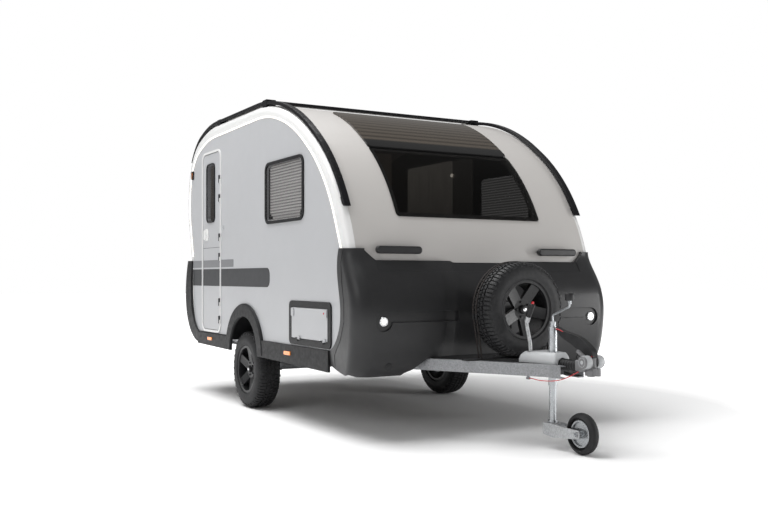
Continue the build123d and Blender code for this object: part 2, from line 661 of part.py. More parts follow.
# Skirts with wheel-arch flares
sill_face = make_face(Polyline((SKIRT_REAR, SKIRT_REAR_BOTTOM), (SKIRT_FRONT, SKIRT_FRONT_BOTTOM),
                               (SKIRT_FRONT, SKIRT_TOP), (SKIRT_REAR, SKIRT_TOP), close=True))
arch_opening = Pos(ARCH_X, ARCH_Z) * Circle(ARCH_R)
arch_disc = Pos(ARCH_X, ARCH_Z) * Circle(ARCH_R + ARCH_BAND)
below_sill = Pos(ARCH_X, SKIRT_FRONT_BOTTOM - 470) * Rectangle(3000, 1000)
sill = side_prism(sill_face - arch_opening, Y_OUT - SKIRT_PROUD, Y_OUT - SEAT_GAP)
sill = chamfer(sill.faces().sort_by(Axis.Y)[0].edges().sort_by(Axis.Z)[-1], SKIRT_EDGE)
flare = side_prism(arch_disc - arch_opening - below_sill, Y_OUT - ARCH_PROUD, Y_OUT - SEAT_GAP)
flare = chamfer(flare.faces().sort_by(Axis.Y)[0].edges().filter_by(GeomType.CIRCLE), ARCH_EDGE)
parts["skirts"] = both(sill + flare)


# Bumpers
def bumper_loft(levels, back_x, inset=0.0, scoops=None):
    """Loft of rounded plan sections, one for each level, with a recess in the middle if given."""
    sections = []
    toward = 1 if levels[0][1] > back_x else -1
    for i, (z, face_x, half, radius) in enumerate(levels):
        x = face_x - toward * inset
        side = half - inset
        back = side - (BUMPER_TAPER if scoops else 0.0)
        right = [(back_x, -back), (x, -side)]
        radii = [radius - inset]
        if scoops:
            edge, floor_half = scoops[i]
            right += [(x, -edge), (x - toward * SCOOP_DEPTH, -floor_half)]
            radii += [SCOOP_R, SCOOP_R]
        left = [(px, -py) for px, py in reversed(right)]
        chain = FilletPolyline(*right, *left, radius=radii + radii[::-1])
        sections.append(Pos(0, 0, z) * make_face(chain + Line((back_x, back), (back_x, -back))))
    return loft(sections)


def front_loft(inset=0.0):
    return bumper_loft(FRONT_LEVELS, FRONT_BUMPER_BACK, inset, SCOOP_HALVES)


def rear_loft(inset=0.0):
    return bumper_loft(REAR_LEVELS, REAR_BUMPER_BACK, inset)


flank = BODY_HALF_WIDTH - 5.0
front_top = FRONT_LEVELS[-1][0]
front_bottom = FRONT_LEVELS[0][0] - 10
front_keep = make_face(Spline(*FRONT_EDGE) + Polyline(
    FRONT_EDGE[-1], (FRONT_EDGE[-1][0], front_bottom), (FAR, front_bottom), (FAR, FRONT_EDGE[0][1]),
    FRONT_EDGE[0]))
front_keep = side_prism(front_keep, FAR, -FAR)
front_outer = front_loft()
front_hollow = front_loft(BUMPER_WALL) & block((FRONT_BUMPER_BACK, FAR), (-flank, flank),
                                               (0, front_top - BUMPER_FLANGE))
front_bumper = (front_outer - front_hollow - clear_body) & front_keep
notch = make_face(Polyline((-NOTCH_Y[1], NOTCH_Z[1]), (-NOTCH_Y[0], NOTCH_Z[0]), (NOTCH_Y[0], NOTCH_Z[0]),
                           (NOTCH_Y[1], NOTCH_Z[1]), (NOTCH_Y[1], FAR), (-NOTCH_Y[1], FAR), close=True))
front_bumper = front_bumper - front_prism(notch, 0, FAR)
slot_half = (LAMP_Y - SLOT_INNER_Y) / 2
slot = Pos(-(LAMP_Y + SLOT_INNER_Y) / 2, sum(SLOT_Z) / 2) * Rectangle(2 * slot_half, SLOT_Z[1] - SLOT_Z[0])
slot = slot + Pos(-LAMP_Y, LAMP_Z) * Circle(LAMP_BEZEL_R)
slot_cut = front_prism(slot, FRONT_BUMPER_BACK, FAR) - front_loft(BUMPER_SLOT_DEPTH)
front_bumper = front_bumper - slot_cut - mirrored(slot_cut)
lip_zone = block((FRONT_BUMPER_BACK, FAR), (-NOTCH_Y[0], NOTCH_Y[0]), (BUMPER_LIP_Z, FAR))
front_bumper = front_bumper - (lip_zone - front_loft(BUMPER_LIP_STEP))
drawbar_notch = make_face(Polyline(*DRAWBAR_NOTCH, *[(-y, z) for y, z in reversed(DRAWBAR_NOTCH)],
                                   close=True))
parts["front_bumper"] = front_bumper - front_prism(drawbar_notch, 0, FAR)

lamp_tool = front_prism(Pos(-LAMP_Y, LAMP_Z) * Circle(LAMP_R), FRONT_BUMPER_BACK, FAR)
lamp = (lamp_tool & front_loft(BUMPER_SLOT_DEPTH - LAMP_PROUD)) - front_loft(BUMPER_SLOT_DEPTH - SEAT_GAP)
parts["front_lamps"] = both(lamp)

rear_top = REAR_LEVELS[-1][0]
rear_bottom = REAR_LEVELS[0][0] - 10
rear_keep = make_face(Spline(*REAR_EDGE) + Polyline(
    REAR_EDGE[-1], (REAR_EDGE[-1][0], rear_bottom), (-FAR, rear_bottom), (-FAR, REAR_EDGE[0][1]),
    REAR_EDGE[0]))
rear_keep = side_prism(rear_keep, FAR, -FAR)
rear_outer = rear_loft()
rear_hollow = rear_loft(BUMPER_WALL) & block((-FAR, REAR_BUMPER_BACK), (-flank, flank),
                                             (0, rear_top - REAR_FLANGE))
rear_bumper = (rear_outer - rear_hollow - clear_body) & rear_keep


def rear_inlay(y, z, size, depth):
    """Inlaid piece in the rear bumper's face, and the pocket that takes it."""
    width, height, radius = size
    spot = Pos(y, z)
    room = RectangleRounded(width + 2 * SEAT_GAP, height + 2 * SEAT_GAP, radius + SEAT_GAP)
    tool = front_prism(spot * RectangleRounded(width, height, radius), -FAR, REAR_BUMPER_BACK - 400)
    space = front_prism(spot * room, -FAR, REAR_BUMPER_BACK - 400)
    return (tool & rear_outer) - rear_loft(depth), space - rear_loft(depth + SEAT_GAP)


rear_lamp, lamp_pocket = rear_inlay(-REAR_LAMP_Y, REAR_LAMP_Z, REAR_LAMP_SIZE, REAR_LAMP_DEPTH)
plate, plate_pocket = rear_inlay(0, PLATE_Z, PLATE_SIZE, PLATE_DEPTH)
parts["rear_bumper"] = rear_bumper - lamp_pocket - mirrored(lamp_pocket) - plate_pocket
parts["rear_lamps"] = both(rear_lamp)
parts["plate_panel"] = plate


# Grab handles on the front and rear corners
def grab_handle(back_x, z, toward):
    """Flat rounded bar that stands off the body on two feet."""
    y_mid = sum(GRAB_Y) / 2
    length = GRAB_Y[1] - GRAB_Y[0]
    face = Pos(y_mid, z) * RectangleRounded(length, GRAB_HEIGHT, GRAB_HEIGHT / 2 - 0.5)
    bar = front_prism(face, *sorted((back_x, back_x + toward * GRAB_DEPTH)))
    bar = fillet(bar.faces().sort_by(Axis.X)[0 if toward < 0 else -1].edges(), GRAB_EDGE)
    for y in (GRAB_Y[0] + GRAB_FOOT_INSET, GRAB_Y[1] - GRAB_FOOT_INSET):
        bar = bar + rod((back_x - toward * GRAB_FOOT_REACH, y, z), (back_x + toward * 10, y, z), GRAB_FOOT_R)
    return (bar - clear_body).solids().sort_by(SortBy.VOLUME)[-1]


parts["grab_handles"] = joined(both(grab_handle(*FRONT_GRAB, 1)), both(grab_handle(*REAR_GRAB, -1)))

# Side and outline marker lamps
sill_out = Y_OUT - SKIRT_PROUD
markers = [rounded_panel((x - MARKER_HALF[0], x + MARKER_HALF[0]), (z - MARKER_HALF[1], z + MARKER_HALF[1]),
                         10.0, sill_out - MARKER_PROUD, sill_out) for x, z in MARKER_SPOTS]
markers.append(rounded_panel(OUTLINE_LAMP_X, OUTLINE_LAMP_Z, 10.0, Y_OUT - OUTLINE_LAMP_PROUD,
                             Y_OUT - SEAT_GAP))
parts["marker_lamps"] = both(joined(*markers))

# Roof rails: a band that follows the body outline above it, with brackets and feet
rail_face = (outline_face(BODY_CORNERS, BODY_RADII, RAIL_BAR_TOP)
             - outline_face(BODY_CORNERS, BODY_RADII, RAIL_BAR_LOW, drop=10.0))
rail_limits = make_face(Polyline((-FAR, RAIL_BAR_REAR_Z), (RAIL_LIMIT_X[0], RAIL_BAR_REAR_Z),
                                 (RAIL_LIMIT_X[1], RAIL_BAR_FRONT_Z), (FAR, RAIL_BAR_FRONT_Z),
                                 (FAR, FAR), (-FAR, FAR), close=True))
rail_bar = side_prism(rail_face & rail_limits, -RAIL_BAR_Y[1], -RAIL_BAR_Y[0])
for x in BRACKET_X:
    bracket = block((x - BRACKET_LENGTH / 2, x + BRACKET_LENGTH / 2),
                    (-RAIL_BAR_Y[1] - 2, -BRACKET_INNER_Y), BRACKET_Z)
    rail_bar = rail_bar + (bracket - clear_body)
foot_band = side_prism(outline_face(BODY_CORNERS, BODY_RADII, RAIL_BAR_TOP - 4), 0, -FAR) - clear_body
for x, z in RAIL_FEET:
    foot = block((x - RAIL_FOOT_HALF[0], x + RAIL_FOOT_HALF[0]),
                 (-RAIL_BAR_Y[1] + RAIL_FOOT_INSET, -RAIL_BAR_Y[0] - RAIL_FOOT_INSET),
                 (z - RAIL_FOOT_HALF[1], z + RAIL_FOOT_HALF[1]))
    rail_bar = rail_bar + (foot & foot_band)
bar_y = BRACKET_INNER_Y - SEAT_GAP
bar_face = RectangleRounded(CROSSBAR_LENGTH_X, CROSSBAR_Z[1] - CROSSBAR_Z[0], CROSSBAR_EDGE_R)
crossbar = side_prism(Pos(BRACKET_X[0], sum(CROSSBAR_Z) / 2) * bar_face, bar_y, -bar_y)
parts["roof_rails"] = joined(both(rail_bar), crossbar)


# Wheels, built about their own axis: +Z of the local frame is the outer side
def tyre_shape(radius, width, bead_r, lugs):
    """Tyre of revolution with rounded shoulders, grooves and notched shoulder lugs."""
    half = width / 2
    bead = half - 27
    side = [(bead_r, bead), (bead_r + 12, bead), (bead_r + 0.36 * (radius - bead_r), half),
            (radius - 30, half - 4), (radius - 6, half - 18), (radius, half - TYRE_SHOULDER)]
    profile = Polyline((bead_r, -bead), *side) + Polyline(
        (radius, half - TYRE_SHOULDER), *[(r, -w) for r, w in reversed(side)])
    solid = revolve(Plane.XZ * make_face(profile), axis=Axis.Z)
    if not lugs:
        return solid
    groove = Cylinder(radius + 5, GROOVE_WIDTH) - Cylinder(radius - GROOVE_DEPTH, GROOVE_WIDTH)
    for w in (-GROOVE_PITCH, 0.0, GROOVE_PITCH):
        solid = solid - Pos(0, 0, w) * groove
    tool = Box(2 * LUG_NOTCH_DEPTH + 34, LUG_NOTCH, LUG_NOTCH_REACH)
    reach = half - 40 + LUG_NOTCH_REACH / 2
    cutters = []
    for i in range(LUG_COUNT):
        for end, share in ((1, 0.25), (-1, 0.75)):
            spin = (i + share) * 360.0 / LUG_COUNT
            cutters.append(Rot(0, 0, spin) * Pos(radius + 17, 0, end * reach) * tool)
    return solid - cutters


def rim_shape():
    """Barrel with two flanges, hub with cap and swept spokes."""
    half = RIM_WIDTH / 2
    seat = TYRE_BEAD_R - SEAT_GAP
    inner = seat - RIM_BARREL
    ring = make_face(Polyline((inner, -half), (RIM_FLANGE_R, -half), (RIM_FLANGE_R, -half + RIM_LIP),
                              (seat, -half + RIM_LIP), (seat, half - RIM_LIP), (RIM_FLANGE_R, half - RIM_LIP),
                              (RIM_FLANGE_R, half), (inner + 3, half), (inner, half - 12), close=True))
    barrel = revolve(Plane.XZ * ring, axis=Axis.Z)
    hub = upright(0, (HUB_BACK, HUB_FACE), HUB_R)
    cap = upright(0, (HUB_FACE - 2, HUB_FACE + CAP_HEIGHT - 2), CAP_R)
    cap = fillet(cap.edges().group_by(Axis.Z)[-1], 7.0)
    blade_plan = make_face(Polyline((30, -44), (inner + 4, -82), (inner + 4, 4), (30, 40), close=True))
    blade = extrude(Pos(0, 0, HUB_BACK + 8) * blade_plan, amount=half - HUB_BACK - 14)
    disc = revolve(Plane.XZ * make_face(Polyline((0, HUB_BACK), (HUB_R, HUB_BACK), (inner + 6, half - 46),
                                                 (inner + 6, half - 10), (HUB_R, HUB_FACE), (0, HUB_FACE),
                                                 close=True)), axis=Axis.Z)
    spokes = [Rot(0, 0, 90 + i * 360.0 / SPOKE_COUNT) * (blade & disc) for i in range(SPOKE_COUNT)]
    return barrel + hub + spokes + cap


tyre = tyre_shape(TYRE_R, TYRE_WIDTH, TYRE_BEAD_R, True)
rim = rim_shape()
drum_z = (HUB_BACK - SEAT_GAP - DRUM_LENGTH, HUB_BACK - SEAT_GAP)
stub_hole_depth = DRUM_LENGTH - STUB_END_WALL
drum = chamfer(upright(0, drum_z, DRUM_R).edges(), DRUM_EDGE)
drum = drum - upright(0, (drum_z[0], drum_z[0] + stub_hole_depth), STUB_R + STUB_CLEARANCE)
right_wheel = Location((0, -WHEEL_Y, TYRE_R), (90, 0, 0))
spare_centre_x = SPARE_FACE_X - TYRE_WIDTH / 2
spare_place = Location((spare_centre_x, 0, SPARE_Z), (0, 90, 0))
add_sides("tyre", right_wheel * tyre)
add_sides("rim", joined(right_wheel * rim, right_wheel * drum))
parts["spare_tyre"] = spare_place * tyre
parts["spare_rim"] = spare_place * rim

# Axle: tube across, trailing arms with stub axles
arm_y = -(WHEEL_Y - TYRE_WIDTH / 2 - ARM_CLEARANCE)
arm_faces = (arm_y, arm_y + ARM_THICKNESS)
drum_back = -(WHEEL_Y + drum_z[0])
arm_plan = (Pos(0, TYRE_R) * Circle(ARM_END_R) + Pos(AXLE_TUBE_X, AXLE_TUBE_Z) * Circle(ARM_ROOT_R)
            + make_face(Polyline((0, TYRE_R - ARM_END_R + 1), (AXLE_TUBE_X, AXLE_TUBE_Z - ARM_ROOT_R + 1),
                                 (AXLE_TUBE_X, AXLE_TUBE_Z + ARM_ROOT_R - 1), (0, TYRE_R + ARM_END_R - 1),
                                 close=True)))
arm = side_prism(arm_plan, arm_faces[0], arm_faces[1])
plate_y = drum_back + BACKPLATE_GAP
stub_end = drum_back - stub_hole_depth + 3.0
arm = arm + rod((0, arm_faces[0] + 5, TYRE_R), (0, stub_end, TYRE_R), STUB_R)
arm = arm + rod((0, arm_faces[0] + 5, TYRE_R), (0, plate_y, TYRE_R), BACKPLATE_BOSS_R)
arm = arm + rod((0, plate_y + BACKPLATE_THICKNESS, TYRE_R), (0, plate_y, TYRE_R), DRUM_R)
tube_spot = Pos(AXLE_TUBE_X, AXLE_TUBE_Z)
tube_half = -arm_faces[1] - SEAT_GAP
tube = side_prism(tube_spot * RegularPolygon(AXLE_TUBE_SIZE / 2, 6), tube_half, -tube_half)
parts["axle"] = joined(tube, both(arm))

# Chassis rails, open channels under the floor, and brackets down to the axle tube
rail_top = FLOOR_UNDERSIDE - SEAT_GAP
rail_mid = rail_top - RAIL_HEIGHT / 2
channel = (Rectangle(RAIL_WIDTH, RAIL_HEIGHT)
           - Pos(RAIL_GAUGE, 0) * Rectangle(RAIL_WIDTH, RAIL_HEIGHT - 2 * RAIL_GAUGE))
rail = extrude(Plane((RAIL_REAR, -RAIL_Y, rail_mid), x_dir=(0, -1, 0), z_dir=(1, 0, 0)) * channel,
               amount=RAIL_FRONT - RAIL_REAR)
axle_bracket = block((AXLE_TUBE_X - AXLE_BRACKET_HALF, AXLE_TUBE_X + AXLE_BRACKET_HALF),
                     (-RAIL_Y - AXLE_BRACKET_THICKNESS / 2, -RAIL_Y + AXLE_BRACKET_THICKNESS / 2),
                     (AXLE_TUBE_Z - 20, rail_top - RAIL_HEIGHT - SEAT_GAP))
axle_bracket = axle_bracket - side_prism(tube_spot * RegularPolygon(AXLE_TUBE_SIZE / 2 + SEAT_GAP, 6), FAR, -FAR)
beam_half = RAIL_Y - RAIL_WIDTH / 2 - SEAT_GAP
crossbeam = block((RAIL_REAR + CROSSBEAM_X[0], RAIL_REAR + CROSSBEAM_X[1]), (-beam_half, beam_half),
                  (rail_top - CROSSBEAM_HEIGHT, rail_top))

# Drawbar arms: channels that lie along the rails and then close in on the coupling
arm_side = beam_half - ARM_WIDTH / 2
arm_mid_z = ARM_TOP - ARM_HEIGHT / 2
arm_nose_y = HOUSING_HALF_WIDTH + SEAT_GAP + ARM_WIDTH / 2
arm_path = FilletPolyline((ARM_START_X, -arm_side, arm_mid_z), (ARM_BEND_X, -arm_side, arm_mid_z),
                          (ARM_CLOSE_X, -arm_nose_y, arm_mid_z), (ARM_END_X, -arm_nose_y, arm_mid_z),
                          radius=[ARM_BEND_R, ARM_BEND_R])
arm_channel = (Rectangle(ARM_WIDTH, ARM_HEIGHT)
               - Pos(RAIL_GAUGE, 0) * Rectangle(ARM_WIDTH, ARM_HEIGHT - 2 * RAIL_GAUGE))
arm_section = Plane((ARM_START_X, -arm_side, arm_mid_z), x_dir=(0, 1, 0), z_dir=(1, 0, 0)) * arm_channel
add_sides("drawbar_arm", sweep(arm_section, path=arm_path, transition=Transition.RIGHT))

# Overrun housing, drawtube, gaiter and coupling head
housing_block = block(HOUSING_X, (-HOUSING_HALF_WIDTH, HOUSING_HALF_WIDTH), HOUSING_Z)
housing_block = fillet(housing_block.edges().filter_by(Axis.X), HOUSING_EDGE_R)
housing_block = housing_block - upright(JOCKEY_X, (0, FAR), JOCKEY_TUBE_R + SEAT_GAP)
tube_start = (HOUSING_X[1] - 6, 0, DRAWTUBE_Z)
tube_finish = (COUPLING_X - 60, 0, DRAWTUBE_Z)
parts["overrun_housing"] = housing_block + rod(tube_start, tube_finish, DRAWTUBE_R)
pitch = (GAITER_X[1] - GAITER_X[0]) / GAITER_FOLDS
gaiter_points = [(GAITER_X[0], DRAWTUBE_R + SEAT_GAP)]
for i in range(GAITER_FOLDS):
    x = GAITER_X[0] + i * pitch
    gaiter_points += [(x, GAITER_R - GAITER_FOLD), (x + pitch / 2, GAITER_R)]
gaiter_points += [(GAITER_X[1], GAITER_R - GAITER_FOLD), (GAITER_X[1], DRAWTUBE_R + SEAT_GAP)]
gaiter = revolve(make_face(Polyline(*gaiter_points, close=True)), axis=Axis.X)
parts["gaiter"] = Pos(0, 0, DRAWTUBE_Z) * (Rot(90, 0, 0) * gaiter)

socket_r = BALL_R + SOCKET_WALL
neck = block((GAITER_X[1] + SEAT_GAP, COUPLING_X), (-NECK_HALF_WIDTH, NECK_HALF_WIDTH), NECK_Z)
neck = fillet(neck.edges().filter_by(Axis.X), NECK_EDGE_R)
neck = neck - rod(tube_start, tube_finish, DRAWTUBE_R + SEAT_GAP)
bell = Pos(COUPLING_X, 0, BALL_Z) * Sphere(socket_r)
bell = bell + upright(COUPLING_X, (BALL_Z - SOCKET_SKIRT, BALL_Z), socket_r)
crown = upright(COUPLING_X, CROWN_Z, CROWN_R)
nose = block((COUPLING_X, COUPLING_NOSE), (-NOSE_HALF_WIDTH, NOSE_HALF_WIDTH),
             (BALL_Z - SOCKET_SKIRT, BALL_Z + NOSE_RISE))
nose = fillet(nose.edges().filter_by(Axis.Z).group_by(Axis.X)[-1], 16.0)
knob = rod((COUPLING_X, -KNOB_Y[0], COUPLING_KNOB_Z), (COUPLING_X, -KNOB_Y[1], COUPLING_KNOB_Z), KNOB_R)
knob = fillet(knob.edges().sort_by(Axis.Y)[0], KNOB_EDGE)
tab = side_prism(make_face(Polyline(*TAB_FACE, close=True)), TAB_Y[1], TAB_Y[0])
coupling = neck + bell + crown + nose + knob + mirrored(knob) + tab + rod(*CABLE_EYE, CABLE_EYE_R)
coupling = coupling - Pos(COUPLING_X, 0, BALL_Z) * Sphere(BALL_R + SEAT_GAP)
parts["coupling_head"] = coupling - upright(COUPLING_X, (BALL_Z - 120, BALL_Z), BALL_R + SEAT_GAP)

grip_face = make_face(Spline(*GRIP_UPPER) + Line(GRIP_UPPER[-1], GRIP_LOWER[0]) + Spline(*GRIP_LOWER)
                      + Line(GRIP_LOWER[-1], GRIP_UPPER[0]))
parts["coupling_handle"] = side_prism(grip_face, GRIP_HALF_WIDTH, -GRIP_HALF_WIDTH)


# Cover over the overrun gear
def cover_section(level, wall):
    """Plan section of the cover, or of its hollow when a wall is given."""
    z, x0, x1, wide, narrow = level
    corners = [(x0 + wall, -wide + wall), (x1 - wall, -narrow + wall),
               (x1 - wall, narrow - wall), (x0 + wall, wide - wall)]
    return Pos(0, 0, z - wall) * make_face(FilletPolyline(*corners, radius=COVER_CORNER_R - wall, close=True))


cover = loft([cover_section(level, 0.0) for level in COVER_LEVELS])
cover = cover - loft([cover_section(level, COVER_WALL) for level in COVER_LEVELS])
cover = cover - upright(JOCKEY_X, (0, FAR), JOCKEY_TUBE_R + COVER_ROOM)
cover = cover - block(LEVER_SLOT_X, LEVER_SLOT_Y, (0, FAR))
housing_room = HOUSING_HALF_WIDTH + SEAT_GAP
cover = cover - block((HOUSING_X[0] - 1, FAR), (-housing_room, housing_room), (0, HOUSING_Z[1] + SEAT_GAP))
parts["drawbar_cover"] = cover - rod(tube_start, (FAR + 1000, 0, DRAWTUBE_Z), GAITER_R + COVER_ROOM)

# Handbrake lever
lever_y = -(HOUSING_HALF_WIDTH + SEAT_GAP + LEVER_OFFSET)
lever_path = FilletPolyline(*[(x, lever_y, z) for x, z in LEVER_POINTS], radius=LEVER_RADII)
lever = sweep(Plane(lever_path @ 0, z_dir=lever_path % 0) * Circle(LEVER_R), path=lever_path)
boss_x, boss_z = LEVER_POINTS[0][0], LEVER_POINTS[0][1] + 4
lever = lever + rod((boss_x, -HOUSING_HALF_WIDTH - SEAT_GAP, boss_z),
                    (boss_x, lever_y - LEVER_BOSS_REACH, boss_z), LEVER_BOSS_R)
grip_end = (LEVER_GRIP_END[0], lever_y, LEVER_GRIP_END[1])
parts["handbrake_lever"] = lever + rod(tuple(lever_path @ LEVER_GRIP_SHARE), grip_end, LEVER_GRIP_R)

# Breakaway cable: straight runs with an arc at every turn
cable_radii = []
for a, b, c in zip(CABLE_POINTS, CABLE_POINTS[1:], CABLE_POINTS[2:]):
    before = Vector(*b) - Vector(*a)
    after = Vector(*c) - Vector(*b)
    half_turn = math.radians(before.get_angle(after)) / 2
    cable_radii.append(0.45 * min(before.length, after.length) / math.tan(half_turn))
print("cable radii", [round(r, 1) for r in cable_radii])
cable_path = FilletPolyline(*CABLE_POINTS, radius=cable_radii)
print("cable length", round(cable_path.length, 1))
cable = sweep(Plane(cable_path @ 0, z_dir=cable_path % 0) * Circle(CABLE_D / 2), path=cable_path)
parts["breakaway_cable"] = cable
clip = block(CLIP_X, CLIP_Y, CLIP_Z)
clip = fillet(clip.edges().filter_by(Axis.X), 4.0)
clip_stem = block((CLIP_X[0] + CLIP_STEM, CLIP_X[1] - CLIP_STEM), (CLIP_Y[0] + CLIP_STEM, CLIP_Y[1] - CLIP_STEM),
                  (CLIP_Z[1] - 2, ARM_TOP - ARM_HEIGHT - SEAT_GAP))
parts["cable_clip"] = clip + clip_stem

# Jockey wheel: clamped tube, sliding leg, swivelling fork and wheel
tube_top = JOCKEY_TUBE_Z[1]
collar = upright(JOCKEY_X, (tube_top - 1, tube_top + JOCKEY_COLLAR_HEIGHT - 1), JOCKEY_COLLAR_R)
jockey_outer = upright(JOCKEY_X, JOCKEY_TUBE_Z, JOCKEY_TUBE_R)
jockey_outer = jockey_outer - upright(JOCKEY_X, (JOCKEY_TUBE_Z[0] - 1, JOCKEY_TUBE_Z[0] + JOCKEY_BORE_DEPTH),
                                      JOCKEY_INNER_R + JOCKEY_FIT)
crank_path = FilletPolyline(*[(JOCKEY_X + x, 0, z) for x, z in CRANK_POINTS],
                            radius=[CRANK_BEND_R, CRANK_BEND_R])
crank = sweep(Plane(crank_path @ 0, z_dir=crank_path % 0) * Circle(CRANK_R), path=crank_path)
knob_x = JOCKEY_X + CRANK_POINTS[-1][0]
crank_knob = fillet(upright(knob_x, CRANK_KNOB_Z, CRANK_KNOB_R).edges(), CRANK_KNOB_EDGE)
parts["jockey_tube"] = (jockey_outer + collar + crank + upright(knob_x, CRANK_NECK_Z, CRANK_NECK_R)
                        + crank_knob)
flange_z = JOCKEY_FORK_Z + 8
jockey_leg = upright(JOCKEY_X, (flange_z, JOCKEY_LEG_TOP), JOCKEY_INNER_R)
parts["jockey_leg"] = jockey_leg + upright(JOCKEY_X, (flange_z, flange_z + JOCKEY_FLANGE), JOCKEY_FLANGE_R)
axle_x = JOCKEY_X + JOCKEY_TRAIL
plate_gap = JOCKEY_WHEEL_WIDTH / 2 + JOCKEY_PLATE_ROOM
crown_top = JOCKEY_FORK_Z - 4 + JOCKEY_CROWN
fork_plan = make_face(FilletPolyline(
    (JOCKEY_X - 40, crown_top), (JOCKEY_X - 44, 96), (JOCKEY_X + 60, 84), (axle_x + 30, JOCKEY_WHEEL_R - 30),
    (axle_x + 30, JOCKEY_WHEEL_R + 26), (JOCKEY_X + 120, crown_top - 6), (JOCKEY_X + 60, crown_top),
    radius=[8, 12, 40, 22, 22, 30, 12], close=True))
fork = side_prism(fork_plan, -plate_gap, -plate_gap - JOCKEY_PLATE)
fork = fork + mirrored(fork)
fork = fork + block((JOCKEY_X - JOCKEY_CROWN_HALF + 10, JOCKEY_X + JOCKEY_CROWN_HALF),
                    (-plate_gap - 1, plate_gap + 1), (crown_top - JOCKEY_CROWN, crown_top))
pin_end = plate_gap + JOCKEY_PLATE + JOCKEY_PIN_REACH
parts["jockey_fork"] = fork + rod((axle_x, -pin_end, JOCKEY_WHEEL_R), (axle_x, pin_end, JOCKEY_WHEEL_R),
                                  JOCKEY_AXLE_R)
jockey_place = Location((axle_x, 0, JOCKEY_WHEEL_R), (90, 0, 0))
jockey_tyre = tyre_shape(JOCKEY_WHEEL_R, JOCKEY_WHEEL_WIDTH, JOCKEY_RIM_R, False)
jockey_hub = Cylinder(JOCKEY_RIM_R - SEAT_GAP, JOCKEY_HUB_WIDTH)
jockey_hub = jockey_hub - Cylinder(JOCKEY_AXLE_R + STUB_CLEARANCE, JOCKEY_HUB_WIDTH)
for end in (-1, 1):
    dish = Cylinder(JOCKEY_HUB_DISH, 18) - Cylinder(20, 18)
    jockey_hub = jockey_hub - Pos(0, 0, end * (JOCKEY_HUB_WIDTH / 2 - 3)) * dish
parts["jockey_tyre"] = jockey_place * jockey_tyre
parts["jockey_hub"] = jockey_place * jockey_hub

# Spare wheel carrier and straps
hub_back_x = spare_centre_x + HUB_BACK - SEAT_GAP
carrier_z = (ARM_TOP + CARRIER_Z[0], ARM_TOP + CARRIER_Z[1])
carrier = block((POST_X[0], CARRIER_FRONT), (-CARRIER_HALF_WIDTH, CARRIER_HALF_WIDTH), carrier_z)
carrier = carrier + block(BEARER_X, (-BEARER_HALF_WIDTH, BEARER_HALF_WIDTH),
                          (ARM_TOP + SEAT_GAP, ARM_TOP + BEARER_HEIGHT))
carrier = carrier + block(POST_X, (-POST_HALF_WIDTH, POST_HALF_WIDTH), (carrier_z[0], SPARE_Z + POST_RISE))
parts["spare_carrier"] = carrier + rod((POST_X[1] - 5, 0, SPARE_Z), (hub_back_x, 0, SPARE_Z), BOSS_R)
strap_r = TYRE_R + SEAT_GAP + STRAP_THICKNESS / 2
anchor_drop = SPARE_Z - ARM_TOP - STRAP_ANCHOR_RISE
reach = math.hypot(STRAP_ANCHOR_Y, anchor_drop)
tangent = math.acos(strap_r / reach) - math.atan2(anchor_drop, STRAP_ANCHOR_Y)
side_y = strap_r * math.cos(tangent)
side_z = SPARE_Z + strap_r * math.sin(tangent)
straps = []
for x in STRAP_X:
    spot = Plane((x, 0, SPARE_Z), x_dir=(0, 1, 0), z_dir=(1, 0, 0))
    arc = spot * CenterArc((0, 0), strap_r, math.degrees(tangent), 180 - 2 * math.degrees(tangent))
    start = Line((x, STRAP_ANCHOR_Y, SPARE_Z - anchor_drop), (x, side_y, side_z))
    finish = Line((x, -side_y, side_z), (x, -STRAP_ANCHOR_Y, SPARE_Z - anchor_drop))
    band = Plane(start @ 0, x_dir=(1, 0, 0), z_dir=start % 0) * Rectangle(STRAP_WIDTH, STRAP_THICKNESS)
    straps.append(sweep(band, path=start + arc + finish))
parts["spare_straps"] = joined(*straps)

# Cross wall that shows through the glass
lining = body_solid(-WALL - 1.0)
parts["interior_wall"] = lining & block(CROSS_WALL_X, (-FAR, FAR), (FLOOR_UNDERSIDE + FLOOR_THICKNESS + SEAT_GAP, FAR))


